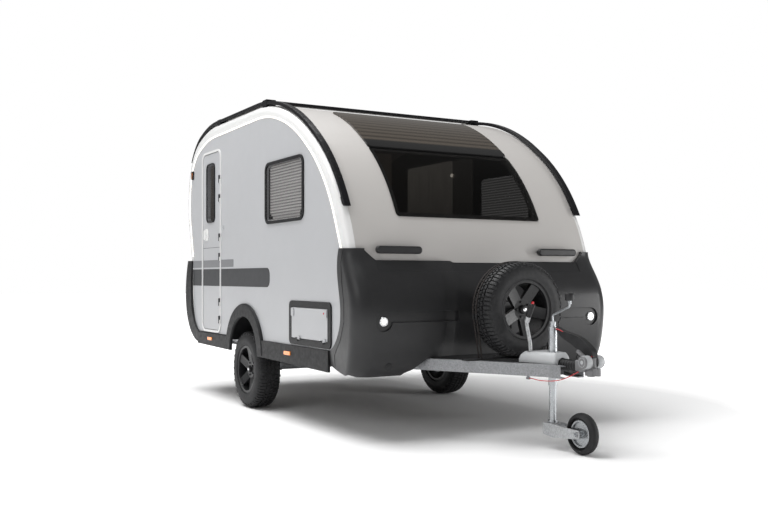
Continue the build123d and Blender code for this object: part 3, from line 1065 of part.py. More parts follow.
# Steady legs on brackets under the floor, folded up
def steady(pivot_x, toward):
    """One right-hand leg and the bracket that carries its pin."""
    tip_x = pivot_x + toward * STEADY_LENGTH
    x_pair = sorted((pivot_x, tip_x))
    y_pair = (-STEADY_Y - STEADY_HALF_WIDTH, -STEADY_Y + STEADY_HALF_WIDTH)
    leg = block(x_pair, y_pair, (STEADY_Z - STEADY_HALF_HEIGHT, STEADY_Z + STEADY_HALF_HEIGHT))
    leg = leg - block((x_pair[0] + 10, x_pair[1] - 10), (y_pair[0] + STEADY_GAUGE, y_pair[1] - STEADY_GAUGE),
                      (STEADY_Z - STEADY_HALF_HEIGHT + STEADY_GAUGE, FAR))
    leg = leg + rod((pivot_x, y_pair[0], STEADY_Z), (pivot_x, y_pair[1], STEADY_Z), STEADY_EYE_R)
    thick, half, below, above = STEADY_FOOT
    leg = leg + block(sorted((tip_x, tip_x + toward * thick)), (-STEADY_Y - half, -STEADY_Y + half),
                      (STEADY_Z - below, STEADY_Z + above))
    long_half, half, cheek = STEADY_BRACKET
    pin = ((pivot_x, -STEADY_Y - half + 4, STEADY_Z), (pivot_x, -STEADY_Y + half - 4, STEADY_Z))
    leg = leg - rod(*pin, STEADY_PIN_R + STEADY_PIN_FIT)
    bracket = block((pivot_x - long_half, pivot_x + long_half), (-STEADY_Y - half, -STEADY_Y + half),
                    (STEADY_Z - 24, FLOOR_UNDERSIDE - SEAT_GAP))
    bracket = bracket - block((pivot_x - FAR, pivot_x + FAR), (-STEADY_Y - half + cheek, -STEADY_Y + half - cheek),
                              (0, FLOOR_UNDERSIDE - 8))
    return leg, bracket + rod(*pin, STEADY_PIN_R)


brackets = []
for label, pivot_x, toward in (("front", STEADY_PIVOTS[0], 1), ("rear", STEADY_PIVOTS[1], -1)):
    leg, bracket = steady(pivot_x, toward)
    add_sides("steady_" + label, leg)
    brackets += [bracket, mirrored(bracket)]
parts["chassis_rails"] = joined(both(rail), both(axle_bracket), crossbeam, *brackets)

whole = joined(*parts.values()).bounding_box()
shift_x = -(whole.min.X + whole.max.X) / 2
print(f"shift {shift_x:.4f} whole {whole.min} {whole.max} parts {len(parts)}")
for name, shape in parts.items():
    moved = Pos(shift_x, 0, 0) * shape
    export_step(moved, "parts/" + name + ".step")
    box = moved.bounding_box()
    print(f"{name:22s} solids {len(moved.solids())} volume {moved.volume / 1e6:9.3f} l "
          f"x {box.min.X:8.1f} {box.max.X:8.1f} y {box.min.Y:8.1f} {box.max.Y:8.1f} "
          f"z {box.min.Z:8.1f} {box.max.Z:8.1f}")
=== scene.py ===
import json
import math

import bmesh
import bpy
from mathutils import Matrix, Vector
from mathutils.bvhtree import BVHTree


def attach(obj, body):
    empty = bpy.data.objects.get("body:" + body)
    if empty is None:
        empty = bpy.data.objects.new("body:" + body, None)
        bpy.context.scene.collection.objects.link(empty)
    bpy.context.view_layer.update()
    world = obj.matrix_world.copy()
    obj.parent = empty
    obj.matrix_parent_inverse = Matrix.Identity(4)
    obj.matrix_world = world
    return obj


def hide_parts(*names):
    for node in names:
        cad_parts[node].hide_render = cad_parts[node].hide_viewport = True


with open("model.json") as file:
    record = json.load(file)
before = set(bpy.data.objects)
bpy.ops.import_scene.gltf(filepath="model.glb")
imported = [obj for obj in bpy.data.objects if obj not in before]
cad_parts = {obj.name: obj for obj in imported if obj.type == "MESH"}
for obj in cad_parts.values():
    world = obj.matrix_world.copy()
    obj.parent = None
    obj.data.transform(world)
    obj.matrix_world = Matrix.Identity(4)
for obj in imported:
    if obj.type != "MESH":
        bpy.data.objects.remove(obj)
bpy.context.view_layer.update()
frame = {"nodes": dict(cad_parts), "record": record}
nodes = frame["nodes"]
scene = bpy.context.scene
scene.view_settings.view_transform = "Standard"

BODY = "caravan_body"
# Places are given in millimetres from the axle; this shift in metres brings them to the frame.
SHIFT_X = -0.8043367
# Outer face of the side walls, to either side of the middle
WALL_Y = 1150
# Blinds: place along the wall, heights and number of pleats
BLIND_X = (541, 1269)
BLIND_Z = (1678, 2143)
PLEATS = 19
PLEAT_PITCH = (BLIND_Z[1] - BLIND_Z[0]) / PLEATS / 1000.0
SIDES = (-1, 1)


def at(x, y, z):
    """Point of the frame, in metres, from millimetres measured from the axle."""
    return Vector((x / 1000.0 + SHIFT_X, y / 1000.0, z / 1000.0))


# Camera, matched to the photograph
camera_data = bpy.data.cameras.new("photo_camera")
camera_data.sensor_fit = "HORIZONTAL"
camera_data.sensor_width = 36.0
camera_data.lens = 43.39
camera_data.shift_y = 0.0245
camera_data.clip_end = 200.0
camera = bpy.data.objects.new("photo_camera", camera_data)
scene.collection.objects.link(camera)
camera.location = at(7986.5, -4234.0, 1189.0)
camera.rotation_euler = (math.radians(90.165), 0.0, math.radians(60.306))
scene.camera = camera


# Material helpers
def node(tree, kind, **settings):
    made = tree.nodes.new(kind)
    for key, value in settings.items():
        setattr(made, key, value)
    return made


def new_material(name):
    """Material with a Principled shader, its tree and its shader."""
    mat = bpy.data.materials.new(name)
    mat.use_nodes = True
    return mat, mat.node_tree, mat.node_tree.nodes["Principled BSDF"]


def coords(tree, stretch=(1, 1, 1)):
    """Object coordinates, so that a pattern moves with its piece."""
    place = node(tree, "ShaderNodeTexCoord")
    mapping = node(tree, "ShaderNodeMapping")
    mapping.inputs["Scale"].default_value = stretch
    tree.links.new(place.outputs["Object"], mapping.inputs["Vector"])
    return mapping.outputs["Vector"]


def one_axis(tree, vector, axis):
    """A single coordinate of a vector."""
    split = node(tree, "ShaderNodeSeparateXYZ")
    tree.links.new(vector, split.inputs["Vector"])
    return split.outputs[axis]


def noise(tree, vector, scale, detail=3.0):
    made = node(tree, "ShaderNodeTexNoise")
    made.inputs["Scale"].default_value = scale
    made.inputs["Detail"].default_value = detail
    tree.links.new(vector, made.inputs["Vector"])
    return made.outputs["Fac"]


def cells(tree, vector, scale):
    made = node(tree, "ShaderNodeTexVoronoi")
    made.inputs["Scale"].default_value = scale
    tree.links.new(vector, made.inputs["Vector"])
    return made


def waves(tree, vector, scale, axis, distortion=0.0):
    made = node(tree, "ShaderNodeTexWave", bands_direction=axis)
    made.inputs["Scale"].default_value = scale
    made.inputs["Distortion"].default_value = distortion
    tree.links.new(vector, made.inputs["Vector"])
    return made.outputs["Fac"]


def ramp(tree, value, stops):
    made = node(tree, "ShaderNodeValToRGB")
    band = made.color_ramp
    while len(band.elements) < len(stops):
        band.elements.new(0.5)
    for element, (place, colour) in zip(band.elements, stops):
        element.position = place
        element.color = (*colour, 1.0)
    tree.links.new(value, made.inputs["Fac"])
    return made.outputs["Color"]


def shade(colour, factor):
    return tuple(min(c * factor, 1.0) for c in colour)


def tinted(tree, value, colour, low, high, start=0.3, end=0.7):
    """The colour, from a low to a high share of itself as the value rises."""
    return ramp(tree, value, [(start, shade(colour, low)), (end, shade(colour, high))])


def spread(tree, value, low, high, start=0.3, end=0.7):
    made = node(tree, "ShaderNodeMapRange")
    for key, number in (("From Min", start), ("From Max", end), ("To Min", low), ("To Max", high)):
        made.inputs[key].default_value = number
    tree.links.new(value, made.inputs["Value"])
    return made.outputs["Result"]


def bump(tree, height, strength, distance, normal=None):
    made = node(tree, "ShaderNodeBump")
    made.inputs["Strength"].default_value = strength
    made.inputs["Distance"].default_value = distance
    tree.links.new(height, made.inputs["Height"])
    if normal is not None:
        tree.links.new(normal, made.inputs["Normal"])
    return made.outputs["Normal"]


def ripple(tree, vector):
    """Faint waviness of a drawn pane."""
    return bump(tree, noise(tree, vector, 3.0, 1.0), 0.02, 0.002)


def soft_normal(tree, radius):
    """Normal that rounds off sharp edges by a radius in metres."""
    made = node(tree, "ShaderNodeBevel", samples=4)
    made.inputs["Radius"].default_value = radius
    return made.outputs["Normal"]


def surface(name, colour, rough, metallic=0.0, mottle=0.08, mottle_scale=3.0, rough_spread=0.08,
            grain=0.0, grain_scale=900.0, coat=0.0, soft_edge=0.0, specular=0.5):
    """Moulded, painted or metal surface with colour drift, gloss drift and a fine grain."""
    mat, tree, shader = new_material(name)
    vector = coords(tree)
    drift = noise(tree, vector, mottle_scale, 4.0)
    tint = tinted(tree, drift, colour, 1.0 - mottle, 1.0 + mottle)
    tree.links.new(tint, shader.inputs["Base Color"])
    gloss = noise(tree, vector, mottle_scale * 7.0)
    low = max(rough - rough_spread, 0.02)
    tree.links.new(spread(tree, gloss, low, rough + rough_spread), shader.inputs["Roughness"])
    shader.inputs["Metallic"].default_value = metallic
    shader.inputs["Specular IOR Level"].default_value = specular
    shader.inputs["Coat Weight"].default_value = coat
    shader.inputs["Coat Roughness"].default_value = 0.15
    normal = soft_normal(tree, soft_edge) if soft_edge > 0.0 else None
    if grain > 0.0:
        normal = bump(tree, noise(tree, vector, grain_scale, 2.0), grain, 0.0004, normal)
    if normal is not None:
        tree.links.new(normal, shader.inputs["Normal"])
    return mat


def spangled(name, colour):
    """Hot-dip galvanised steel with its crystal pattern."""
    mat, tree, shader = new_material(name)
    vector = coords(tree)
    crystal = cells(tree, vector, 110.0).outputs["Color"]
    tree.links.new(tinted(tree, crystal, colour, 0.8, 1.18, 0.15, 0.85), shader.inputs["Base Color"])
    tree.links.new(spread(tree, crystal, 0.34, 0.58), shader.inputs["Roughness"])
    shader.inputs["Metallic"].default_value = 0.6
    fine = bump(tree, noise(tree, vector, 160.0), 0.15, 0.0005, soft_normal(tree, 0.003))
    tree.links.new(fine, shader.inputs["Normal"])
    return mat


def pane(name, colour, see_through, specular=0.3):
    """Tinted pane with a faint ripple, partly clear."""
    mat, tree, shader = new_material(name)
    vector = coords(tree)
    tint = tinted(tree, noise(tree, vector, 2.0), colour, 0.85, 1.15)
    tree.links.new(tint, shader.inputs["Base Color"])
    tree.links.new(spread(tree, noise(tree, vector, 9.0), 0.02, 0.06), shader.inputs["Roughness"])
    shader.inputs["Specular IOR Level"].default_value = specular
    shader.inputs["Alpha"].default_value = 1.0 - see_through
    tree.links.new(ripple(tree, vector), shader.inputs["Normal"])
    return mat


def lens(name, colour, glow, strength):
    """Ribbed lamp lens with a little light of its own."""
    mat, tree, shader = new_material(name)
    ribs = cells(tree, coords(tree), 90.0).outputs["Distance"]
    tree.links.new(tinted(tree, ribs, colour, 1.25, 0.7, 0.0, 0.8), shader.inputs["Base Color"])
    tree.links.new(spread(tree, ribs, 0.08, 0.2, 0.0, 0.8), shader.inputs["Roughness"])
    shader.inputs["Coat Weight"].default_value = 0.6
    shader.inputs["Emission Color"].default_value = (*glow, 1.0)
    shader.inputs["Emission Strength"].default_value = strength
    tree.links.new(bump(tree, ribs, 0.3, 0.001), shader.inputs["Normal"])
    return mat


def cloth_gloss(tree, shader, vector):
    """Dull, uneven gloss of a fabric."""
    tree.links.new(spread(tree, noise(tree, vector, 30.0), 0.7, 0.9), shader.inputs["Roughness"])
    shader.inputs["Specular IOR Level"].default_value = 0.2


def woven(name, colour, scale):
    """Cloth with crossing threads."""
    mat, tree, shader = new_material(name)
    vector = coords(tree)
    weave = node(tree, "ShaderNodeMath", operation="MULTIPLY")
    tree.links.new(waves(tree, vector, scale, "X"), weave.inputs[0])
    tree.links.new(waves(tree, vector, scale, "Z"), weave.inputs[1])
    threads = weave.outputs["Value"]
    tree.links.new(tinted(tree, threads, colour, 0.85, 1.12, 0.1, 0.8), shader.inputs["Base Color"])
    cloth_gloss(tree, shader, vector)
    tree.links.new(bump(tree, threads, 0.3, 0.0006), shader.inputs["Normal"])
    return mat


def pleated_with_painted_light(name, colour, pitch, glow):
    """Blind cloth with painted shade and a painted glow: its colour turns dark and light from fold to fold,
    and it gives off that colour as light.
    """
    mat, tree, shader = new_material(name)
    vector = coords(tree)
    # Painted shade: the colour runs from dark to light at the pleat pitch, as if each fold faced the light
    # in turn.
    painted_fold_shade = waves(tree, vector, 2.0 * math.pi / (20.0 * pitch), "Z")
    tint = tinted(tree, painted_fold_shade, colour, 0.45, 1.1, 0.15, 0.8)
    tree.links.new(tint, shader.inputs["Base Color"])
    cloth_gloss(tree, shader, vector)
    # Painted glow: the banded colour is also emitted, though the blind is no lamp.
    tree.links.new(tint, shader.inputs["Emission Color"])
    shader.inputs["Emission Strength"].default_value = glow
    tree.links.new(bump(tree, waves(tree, vector, 400.0, "X"), 0.2, 0.0005), shader.inputs["Normal"])
    return mat


def veneer_with_painted_glow(name, colour, glow):
    """Light wood lining with a long grain and a painted glow that grows towards the top: painted light from
    above.
    """
    mat, tree, shader = new_material(name)
    grain = noise(tree, coords(tree, (14, 14, 1)), 3.0, 5.0)
    tint = tinted(tree, grain, colour, 0.82, 1.12)
    tree.links.new(tint, shader.inputs["Base Color"])
    tree.links.new(spread(tree, grain, 0.4, 0.6), shader.inputs["Roughness"])
    # Painted light: emission rises with height, though the lining is no lamp.
    painted_light_fall = spread(tree, one_axis(tree, coords(tree), "Z"), 0.25 * glow, glow, 1.5, 2.3)
    tree.links.new(tint, shader.inputs["Emission Color"])
    tree.links.new(painted_light_fall, shader.inputs["Emission Strength"])
    tree.links.new(bump(tree, grain, 0.1, 0.0006), shader.inputs["Normal"])
    return mat


def roof_pane(name):
    """Bronze acrylic with slat stripes painted into its colour, a painted reflection, and a black band along
    its front edge.
    """
    band_start, band_full = 1.415, 1.435
    mat, tree, shader = new_material(name)
    vector = coords(tree)
    # Painted reflection: dark and light slat stripes painted into the pane's colour.
    painted_reflection_slats = waves(tree, coords(tree, (1, 0.06, 1)), 5.5, "X", 0.7)
    bronze_with_painted_reflection = ramp(tree, painted_reflection_slats, [(0.0, (0.014, 0.011, 0.008)), (0.14, (0.036, 0.029, 0.022)),
                                (1.0, (0.055, 0.045, 0.035))])
    front_edge = spread(tree, one_axis(tree, vector, "X"), 0.0, 1.0,
                        band_start + SHIFT_X, band_full + SHIFT_X)
    mix = node(tree, "ShaderNodeMix", data_type="RGBA")
    tree.links.new(front_edge, mix.inputs["Factor"])
    tree.links.new(bronze_with_painted_reflection, mix.inputs["A"])
    mix.inputs["B"].default_value = (0.006, 0.006, 0.006, 1.0)
    tree.links.new(mix.outputs["Result"], shader.inputs["Base Color"])
    tree.links.new(spread(tree, noise(tree, vector, 6.0), 0.08, 0.16), shader.inputs["Roughness"])
    shader.inputs["Specular IOR Level"].default_value = 0.3
    tree.links.new(ripple(tree, vector), shader.inputs["Normal"])
    return mat


# One finish for each material slot
finish = {
    "side_panel": surface("side_panel", (0.385, 0.39, 0.402), 0.4, mottle=0.015, rough_spread=0.03,
                          mottle_scale=1.2, grain=0.08, grain_scale=260.0, coat=0.2),
    "front_shell": surface("front_shell", (0.43, 0.415, 0.40), 0.36, mottle=0.015, rough_spread=0.03,
                           mottle_scale=1.0, grain=0.05, grain_scale=160.0, coat=0.3),
    "edge_white": surface("edge_white", (0.64, 0.64, 0.635), 0.32, mottle=0.01, rough_spread=0.02,
                          coat=0.4, grain=0.05, grain_scale=160.0),
    "black_trim": surface("black_trim", (0.014, 0.014, 0.015), 0.4, mottle=0.15, mottle_scale=9.0,
                          grain=0.2, soft_edge=0.002, specular=0.16),
    "bumper_plastic": surface("bumper_plastic", (0.019, 0.019, 0.02), 0.46, mottle=0.1, mottle_scale=4.0,
                              grain=0.3, grain_scale=1100.0, soft_edge=0.004, specular=0.14),
    "grip_plastic": surface("grip_plastic", (0.018, 0.018, 0.019), 0.42, mottle=0.15, grain=0.3,
                            soft_edge=0.003, specular=0.3),
    "rail_plastic": surface("rail_plastic", (0.008, 0.008, 0.009), 0.22, mottle=0.15, grain=0.1,
                            soft_edge=0.004, specular=0.16),
    "tyre_rubber": surface("tyre_rubber", (0.018, 0.018, 0.019), 0.55, mottle=0.3, mottle_scale=40.0,
                           grain=0.6, grain_scale=320.0, specular=0.25),
    "jockey_rubber": surface("jockey_rubber", (0.02, 0.02, 0.021), 0.6, mottle=0.2, mottle_scale=20.0,
                             grain=0.35, specular=0.3),
    "gaiter_rubber": surface("gaiter_rubber", (0.012, 0.012, 0.013), 0.5, mottle=0.2, grain=0.3,
                             specular=0.35),
    "wheel_black": surface("wheel_black", (0.012, 0.012, 0.013), 0.34, mottle=0.1, mottle_scale=12.0,
                           grain=0.12, soft_edge=0.003, specular=0.35),
    "cast_black": surface("cast_black", (0.016, 0.016, 0.017), 0.5, mottle=0.2, mottle_scale=20.0,
                          grain=0.6, grain_scale=420.0, soft_edge=0.003, specular=0.3),
    "galvanised": spangled("galvanised", (0.27, 0.275, 0.285)),
    "coupling_grey": surface("coupling_grey", (0.17, 0.17, 0.175), 0.45, metallic=0.3, mottle=0.15,
                             grain=0.4, grain_scale=420.0, soft_edge=0.003),
    "cover_grey": surface("cover_grey", (0.5, 0.51, 0.52), 0.4, mottle=0.03, grain=0.3, soft_edge=0.004),
    "plate_white": surface("plate_white", (0.75, 0.75, 0.74), 0.35, mottle=0.02, grain=0.1),
    # Interior panels: painted glow, brighter towards the top.
    "interior_panel": veneer_with_painted_glow("interior_panel", (0.42, 0.36, 0.30), 0.12),
    "floor_ply": surface("floor_ply", (0.11, 0.10, 0.09), 0.6, mottle=0.2, mottle_scale=5.0, grain=0.4),
    "strap_webbing": woven("strap_webbing", (0.025, 0.021, 0.02), 260.0),
    # Blinds: painted fold shade and a painted glow.
    "blind_fabric": pleated_with_painted_light("blind_fabric", (0.55, 0.54, 0.53), PLEAT_PITCH, 0.35),
    "tinted_glass": pane("tinted_glass", (0.003, 0.003, 0.003), 0.38, 0.02),
    "window_acrylic": pane("window_acrylic", (0.02, 0.02, 0.021), 0.72, 0.3),
    "lamp_clear": lens("lamp_clear", (0.8, 0.8, 0.78), (1.0, 0.98, 0.94), 0.5),
    "lamp_red": lens("lamp_red", (0.35, 0.01, 0.01), (1.0, 0.05, 0.03), 0.05),
    "lamp_amber": lens("lamp_amber", (0.8, 0.2, 0.01), (1.0, 0.35, 0.03), 0.25),
    "light_strip": lens("light_strip", (0.85, 0.84, 0.8), (1.0, 0.92, 0.8), 1.3),
    "red_cord": surface("red_cord", (0.45, 0.01, 0.015), 0.35, mottle=0.1, mottle_scale=60.0, grain=0.2,
                        coat=0.3),
}
finish["door_panel"] = finish["side_panel"]

# Finishes of single pieces
film_look = {"mottle": 0.02, "mottle_scale": 2.0, "rough_spread": 0.02, "grain": 0.08, "grain_scale": 260.0,
             "specular": 0.2}
stripe_dark = surface("stripe_dark", (0.045, 0.046, 0.049), 0.5, **film_look)
stripe_light = surface("stripe_light", (0.175, 0.178, 0.185), 0.5, **film_look)
bright_metal = surface("bright_metal", (0.72, 0.73, 0.74), 0.22, metallic=0.9, mottle=0.05,
                       mottle_scale=30.0, grain=0.1)
zinc = surface("zinc", (0.4, 0.415, 0.43), 0.3, metallic=0.85, mottle=0.08, mottle_scale=20.0, grain=0.1,
               soft_edge=0.002)
red_plastic = surface("red_plastic", (0.5, 0.01, 0.02), 0.35, mottle=0.06, mottle_scale=40.0, grain=0.2)
knob_grey = surface("knob_grey", (0.4, 0.41, 0.42), 0.42, mottle=0.05, mottle_scale=30.0, grain=0.35,
                    soft_edge=0.003)
# Lining: painted glow, brighter towards the top.
lining = veneer_with_painted_glow("lining", (0.40, 0.37, 0.33), 0.35)
# Doorway: a dark plate of painted shade, with a painted glow.
doorway_painted_shade = veneer_with_painted_glow("doorway_painted_shade", (0.16, 0.15, 0.135), 0.25)
# Roof window: slat stripes of painted reflection in its colour.
roof_tint_with_painted_reflection = roof_pane("roof_tint_with_painted_reflection")
bumper_sheen = surface("bumper_sheen", (0.021, 0.021, 0.022), 0.34, mottle=0.1, mottle_scale=4.0,
                       rough_spread=0.04, grain=0.25, grain_scale=1100.0, soft_edge=0.004, specular=0.32)
bright_zinc = spangled("bright_zinc", (0.5, 0.51, 0.52))

slot_of = {row["node"]: row["material_slot"] for row in frame["record"]["subparts"]}
own_finish = {"roof_window": roof_tint_with_painted_reflection, "jockey_hub": zinc, "jockey_tube": zinc, "jockey_leg": zinc,
              "front_bumper": bumper_sheen, "jockey_fork": bright_zinc, "handbrake_lever": bright_zinc}
for name, obj in nodes.items():
    mat = own_finish.get(name, finish[slot_of[name]])
    if not obj.data.materials:
        obj.data.materials.append(mat)
    for i in range(len(obj.material_slots)):
        obj.material_slots[i].material = mat


# Mesh helpers
def piece(name, shape, material, body=BODY, crease=35.0):
    """Object from a bmesh, riding on a body, smooth up to the crease angle."""
    bmesh.ops.recalc_face_normals(shape, faces=shape.faces)
    mesh = bpy.data.meshes.new(name)
    shape.to_mesh(mesh)
    shape.free()
    mesh.materials.append(material)
    mesh.polygons.foreach_set("use_smooth", [True] * len(mesh.polygons))
    mesh.set_sharp_from_angle(angle=math.radians(crease))
    obj = bpy.data.objects.new(name, mesh)
    scene.collection.objects.link(obj)
    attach(obj, body)
    return obj


def facing(spot, direction):
    """Frame in millimetres at a point of the frame, its Z axis along a direction."""
    turn = Vector(direction).to_track_quat("Z", "Y").to_matrix().to_4x4()
    return Matrix.Translation(spot) @ turn @ Matrix.Scale(0.001, 4)


def stand(x, y, z, direction):
    """Frame in millimetres at a place measured from the axle, its Z axis along a direction."""
    return facing(at(x, y, z), direction)


def skin(shape, rings, closed=True):
    """Quads between rings of vertices; a ring of one vertex closes to a point."""
    steps = max(len(ring) for ring in rings)
    last = steps if closed else steps - 1
    for lower, upper in zip(rings, rings[1:]):
        for i in range(last):
            j = (i + 1) % steps
            corners = [lower[i % len(lower)], lower[j % len(lower)],
                       upper[j % len(upper)], upper[i % len(upper)]]
            corners = list(dict.fromkeys(corners))
            if len(corners) > 2:
                shape.faces.new(corners)


def lathe(shape, profile, place, steps=40):
    """Turned solid: (radius, height) pairs in millimetres about the Z axis of place."""
    rings = []
    for radius, height in profile:
        count = steps if radius > 0.0 else 1
        turns = [2.0 * math.pi * i / steps for i in range(count)]
        rings.append([shape.verts.new(place @ Vector((radius * math.cos(a), radius * math.sin(a), height)))
                      for a in turns])
    skin(shape, rings)


def turned(name, profile, places, steps, material, body=BODY, crease=35.0):
    """Piece made of equal turned solids, one at each place."""
    shape = bmesh.new()
    for place in places:
        lathe(shape, profile, place, steps)
    return piece(name, shape, material, body, crease)


def rounded(low, high, radius, steps=6):
    """Outline of a rectangle with rounded corners; one radius, or four from the lower right on round."""
    (x0, z0), (x1, z1) = low, high
    radii = radius if isinstance(radius, tuple) else (radius,) * 4
    centres = ((x1, z0, 1, 1), (x1, z1, 1, -1), (x0, z1, -1, -1), (x0, z0, -1, 1))
    points = []
    for k, ((x, z, out, up), r) in enumerate(zip(centres, radii)):
        for i in range(steps + 1):
            a = math.pi / 2 * (k - 1 + i / steps)
            points.append((x - out * r + r * math.cos(a), z + up * r + r * math.sin(a)))
    return points


def inset(outline, amount):
    """The outline moved inwards; it runs anticlockwise."""
    moved = []
    count = len(outline)
    for i, (x, z) in enumerate(outline):
        before = Vector(outline[i - 1])
        after = Vector(outline[(i + 1) % count])
        along = after - before
        if along.length < 1e-9:
            along = Vector((1.0, 0.0))
        along.normalize()
        moved.append((x - along.y * amount, z + along.x * amount))
    return moved


def right_side(u, v, out):
    return at(u, -out, v)


def left_side(u, v, out):
    return at(u, out, v)


def facing_front(u, v, out):
    return at(out, u, v)


def on_frame(spot):
    """Way of placing a plate on a frame in millimetres."""
    def place(u, v, out):
        return spot @ Vector((u, v, out))
    return place


def plate(shape, outline, back, face, edge, place):
    """Closed plate on an outline from back to face, with a chamfer of the given edge."""
    rings = []
    for ring, depth in ((outline, back), (outline, face - edge), (inset(outline, edge), face)):
        rings.append([shape.verts.new(place(u, v, depth)) for u, v in ring])
    skin(shape, rings)
    shape.faces.new(rings[0])
    shape.faces.new(rings[-1])


def flat(name, outline, back, face, edge, place, material, slot, body=BODY):
    """Piece made of one plate."""
    shape = bmesh.new()
    plate(shape, outline, back, face, edge, place)
    return piece(name, shape, material, body)


def ring_plate(shape, outline, width, back, face, edge, place):
    """Closed frame of a given width on an outline, with chamfered edges."""
    levels = ((0.0, back), (0.0, face - edge), (edge, face), (width - edge, face), (width, face - edge),
              (width, back))
    rings = []
    for amount, depth in levels:
        rings.append([shape.verts.new(place(u, v, depth)) for u, v in inset(outline, amount)])
    skin(shape, rings + rings[:1])


def pipe(shape, path, radius, steps=12):
    """Round bar along points of the frame, with flat ends."""
    rings = []
    for i, point in enumerate(path):
        along = (path[min(i + 1, len(path) - 1)] - path[max(i - 1, 0)]).normalized()
        turn = along.to_track_quat("Z", "Y").to_matrix()
        rings.append([shape.verts.new(point + turn @ Vector((math.cos(a), math.sin(a), 0.0)) * radius)
                      for a in (2.0 * math.pi * k / steps for k in range(steps))])
    skin(shape, rings)
    shape.faces.new(rings[0])
    shape.faces.new(rings[-1])


# Road wheels and spare: block-tread tyres, caps, nuts and bright bosses
WHEEL_Y = 1032
WHEEL_Z = 350
SPARE_X = 2554
SPARE_Z = 955
# Half of the carcass section, as radius and width, from the bead to the middle of the tread
TYRE_HALF = [(206, 92), (214, 100), (221, 106), (225, 109.5), (229, 108.5), (255, 113), (280, 111.5),
             (303, 105.5), (322, 96), (332.5, 83), (337.5, 62), (339.5, 32), (340, 0)]
TYRE_STEPS = 120
PITCHES = 34
MIDDLE_LUG = 10.0
SHOULDER_LUG = 9.0
# Blocks of one pitch: shares of the pitch at both ends, arc lengths across the tread, height
LUGS = [((0.04, 0.52, 0.12, 0.60), (4, 34), MIDDLE_LUG), ((0.60, 0.98, 0.68, 1.04), (4, 30), MIDDLE_LUG),
        ((0.30, 0.74, 0.22, 0.66), (-34, -4), MIDDLE_LUG), ((0.84, 1.22, 0.76, 1.14), (-30, -4), MIDDLE_LUG),
        ((0.02, 0.40, 0.06, 0.44), (41, 112), SHOULDER_LUG),
        ((0.52, 0.90, 0.56, 0.94), (38, 98), SHOULDER_LUG),
        ((0.14, 0.52, 0.10, 0.48), (-112, -41), SHOULDER_LUG),
        ((0.64, 1.02, 0.60, 0.98), (-98, -38), SHOULDER_LUG)]
# Blocks lose height from the shoulder outwards, have sloping flanks and start inside the carcass
SHOULDER_START = 78.0
SHOULDER_REACH = 34.0
SHOULDER_LOSS = 0.45
LUG_FLANK = 0.07
LUG_ROOT = -2.0
CAP_PROFILE = [(0, 79.5), (14, 79.5), (22, 78.5), (29, 76), (32, 72.5), (32.4, 56), (36, 54)]
BOSS_PROFILE = [(0, 82), (9, 81.6), (13, 80.8), (14.5, 79.2), (14.5, 77)]
NUT_PROFILE = [(0, 66), (7, 65.5), (9.5, 63), (9.5, 55), (12, 54)]
NUTS = 5
NUT_CIRCLE = 56


def tyre_section():
    """Carcass section as (arc length, radius, width) from one bead to the other."""
    points = TYRE_HALF + [(r, -w) for r, w in TYRE_HALF[-2::-1]]
    section = []
    run = 0.0
    for i, (r, w) in enumerate(points):
        if i:
            run += math.dist(points[i - 1], (r, w))
        section.append((run, r, w))
    middle = section[len(TYRE_HALF) - 1][0]
    return [(middle - s, r, w) for s, r, w in section]


SECTION = tyre_section()


def over_tread(s, height):
    """Radius and width at an arc length from the middle, raised along the section's normal."""
    for (s0, r0, w0), (s1, r1, w1) in zip(SECTION, SECTION[1:]):
        if s0 >= s >= s1:
            share = (s0 - s) / max(s0 - s1, 1e-9)
            along = Vector((r1 - r0, w1 - w0)).normalized()
            return (r0 + share * (r1 - r0) - along.y * height, w0 + share * (w1 - w0) + along.x * height)
    return SECTION[-1][1:]


def lug(shape, place, start, shares, reach, height):
    """Tread block with sloping flanks over its share of a pitch."""
    across, along = 5, 3
    a0, a1, b0, b1 = shares
    pitch = 2.0 * math.pi / PITCHES

    def point(p, q, raised):
        share = (1 - q) * ((1 - p) * a0 + p * a1) + q * ((1 - p) * b0 + p * b1)
        turn = start + share * pitch
        s = reach[0] + q * (reach[1] - reach[0])
        taper = 1.0 - SHOULDER_LOSS * max(abs(s) - SHOULDER_START, 0.0) / SHOULDER_REACH
        r, w = over_tread(s, raised * taper if raised > 0 else raised)
        return shape.verts.new(place @ Vector((r * math.cos(turn), r * math.sin(turn), w)))

    def grid(low, high, raised):
        return [[point(low + (high - low) * i / along, low + (high - low) * j / across, raised)
                 for j in range(across + 1)] for i in range(along + 1)]

    top = grid(LUG_FLANK, 1.0 - LUG_FLANK, height)
    for i in range(along):
        for j in range(across):
            shape.faces.new((top[i][j], top[i + 1][j], top[i + 1][j + 1], top[i][j + 1]))
    rim_ij = ([(i, 0) for i in range(along)] + [(along, j) for j in range(across)]
              + [(i, across) for i in range(along, 0, -1)] + [(0, j) for j in range(across, 0, -1)])
    upper = [top[i][j] for i, j in rim_ij]
    lower = [point(i / along, j / across, LUG_ROOT) for i, j in rim_ij]
    skin(shape, [lower, upper])


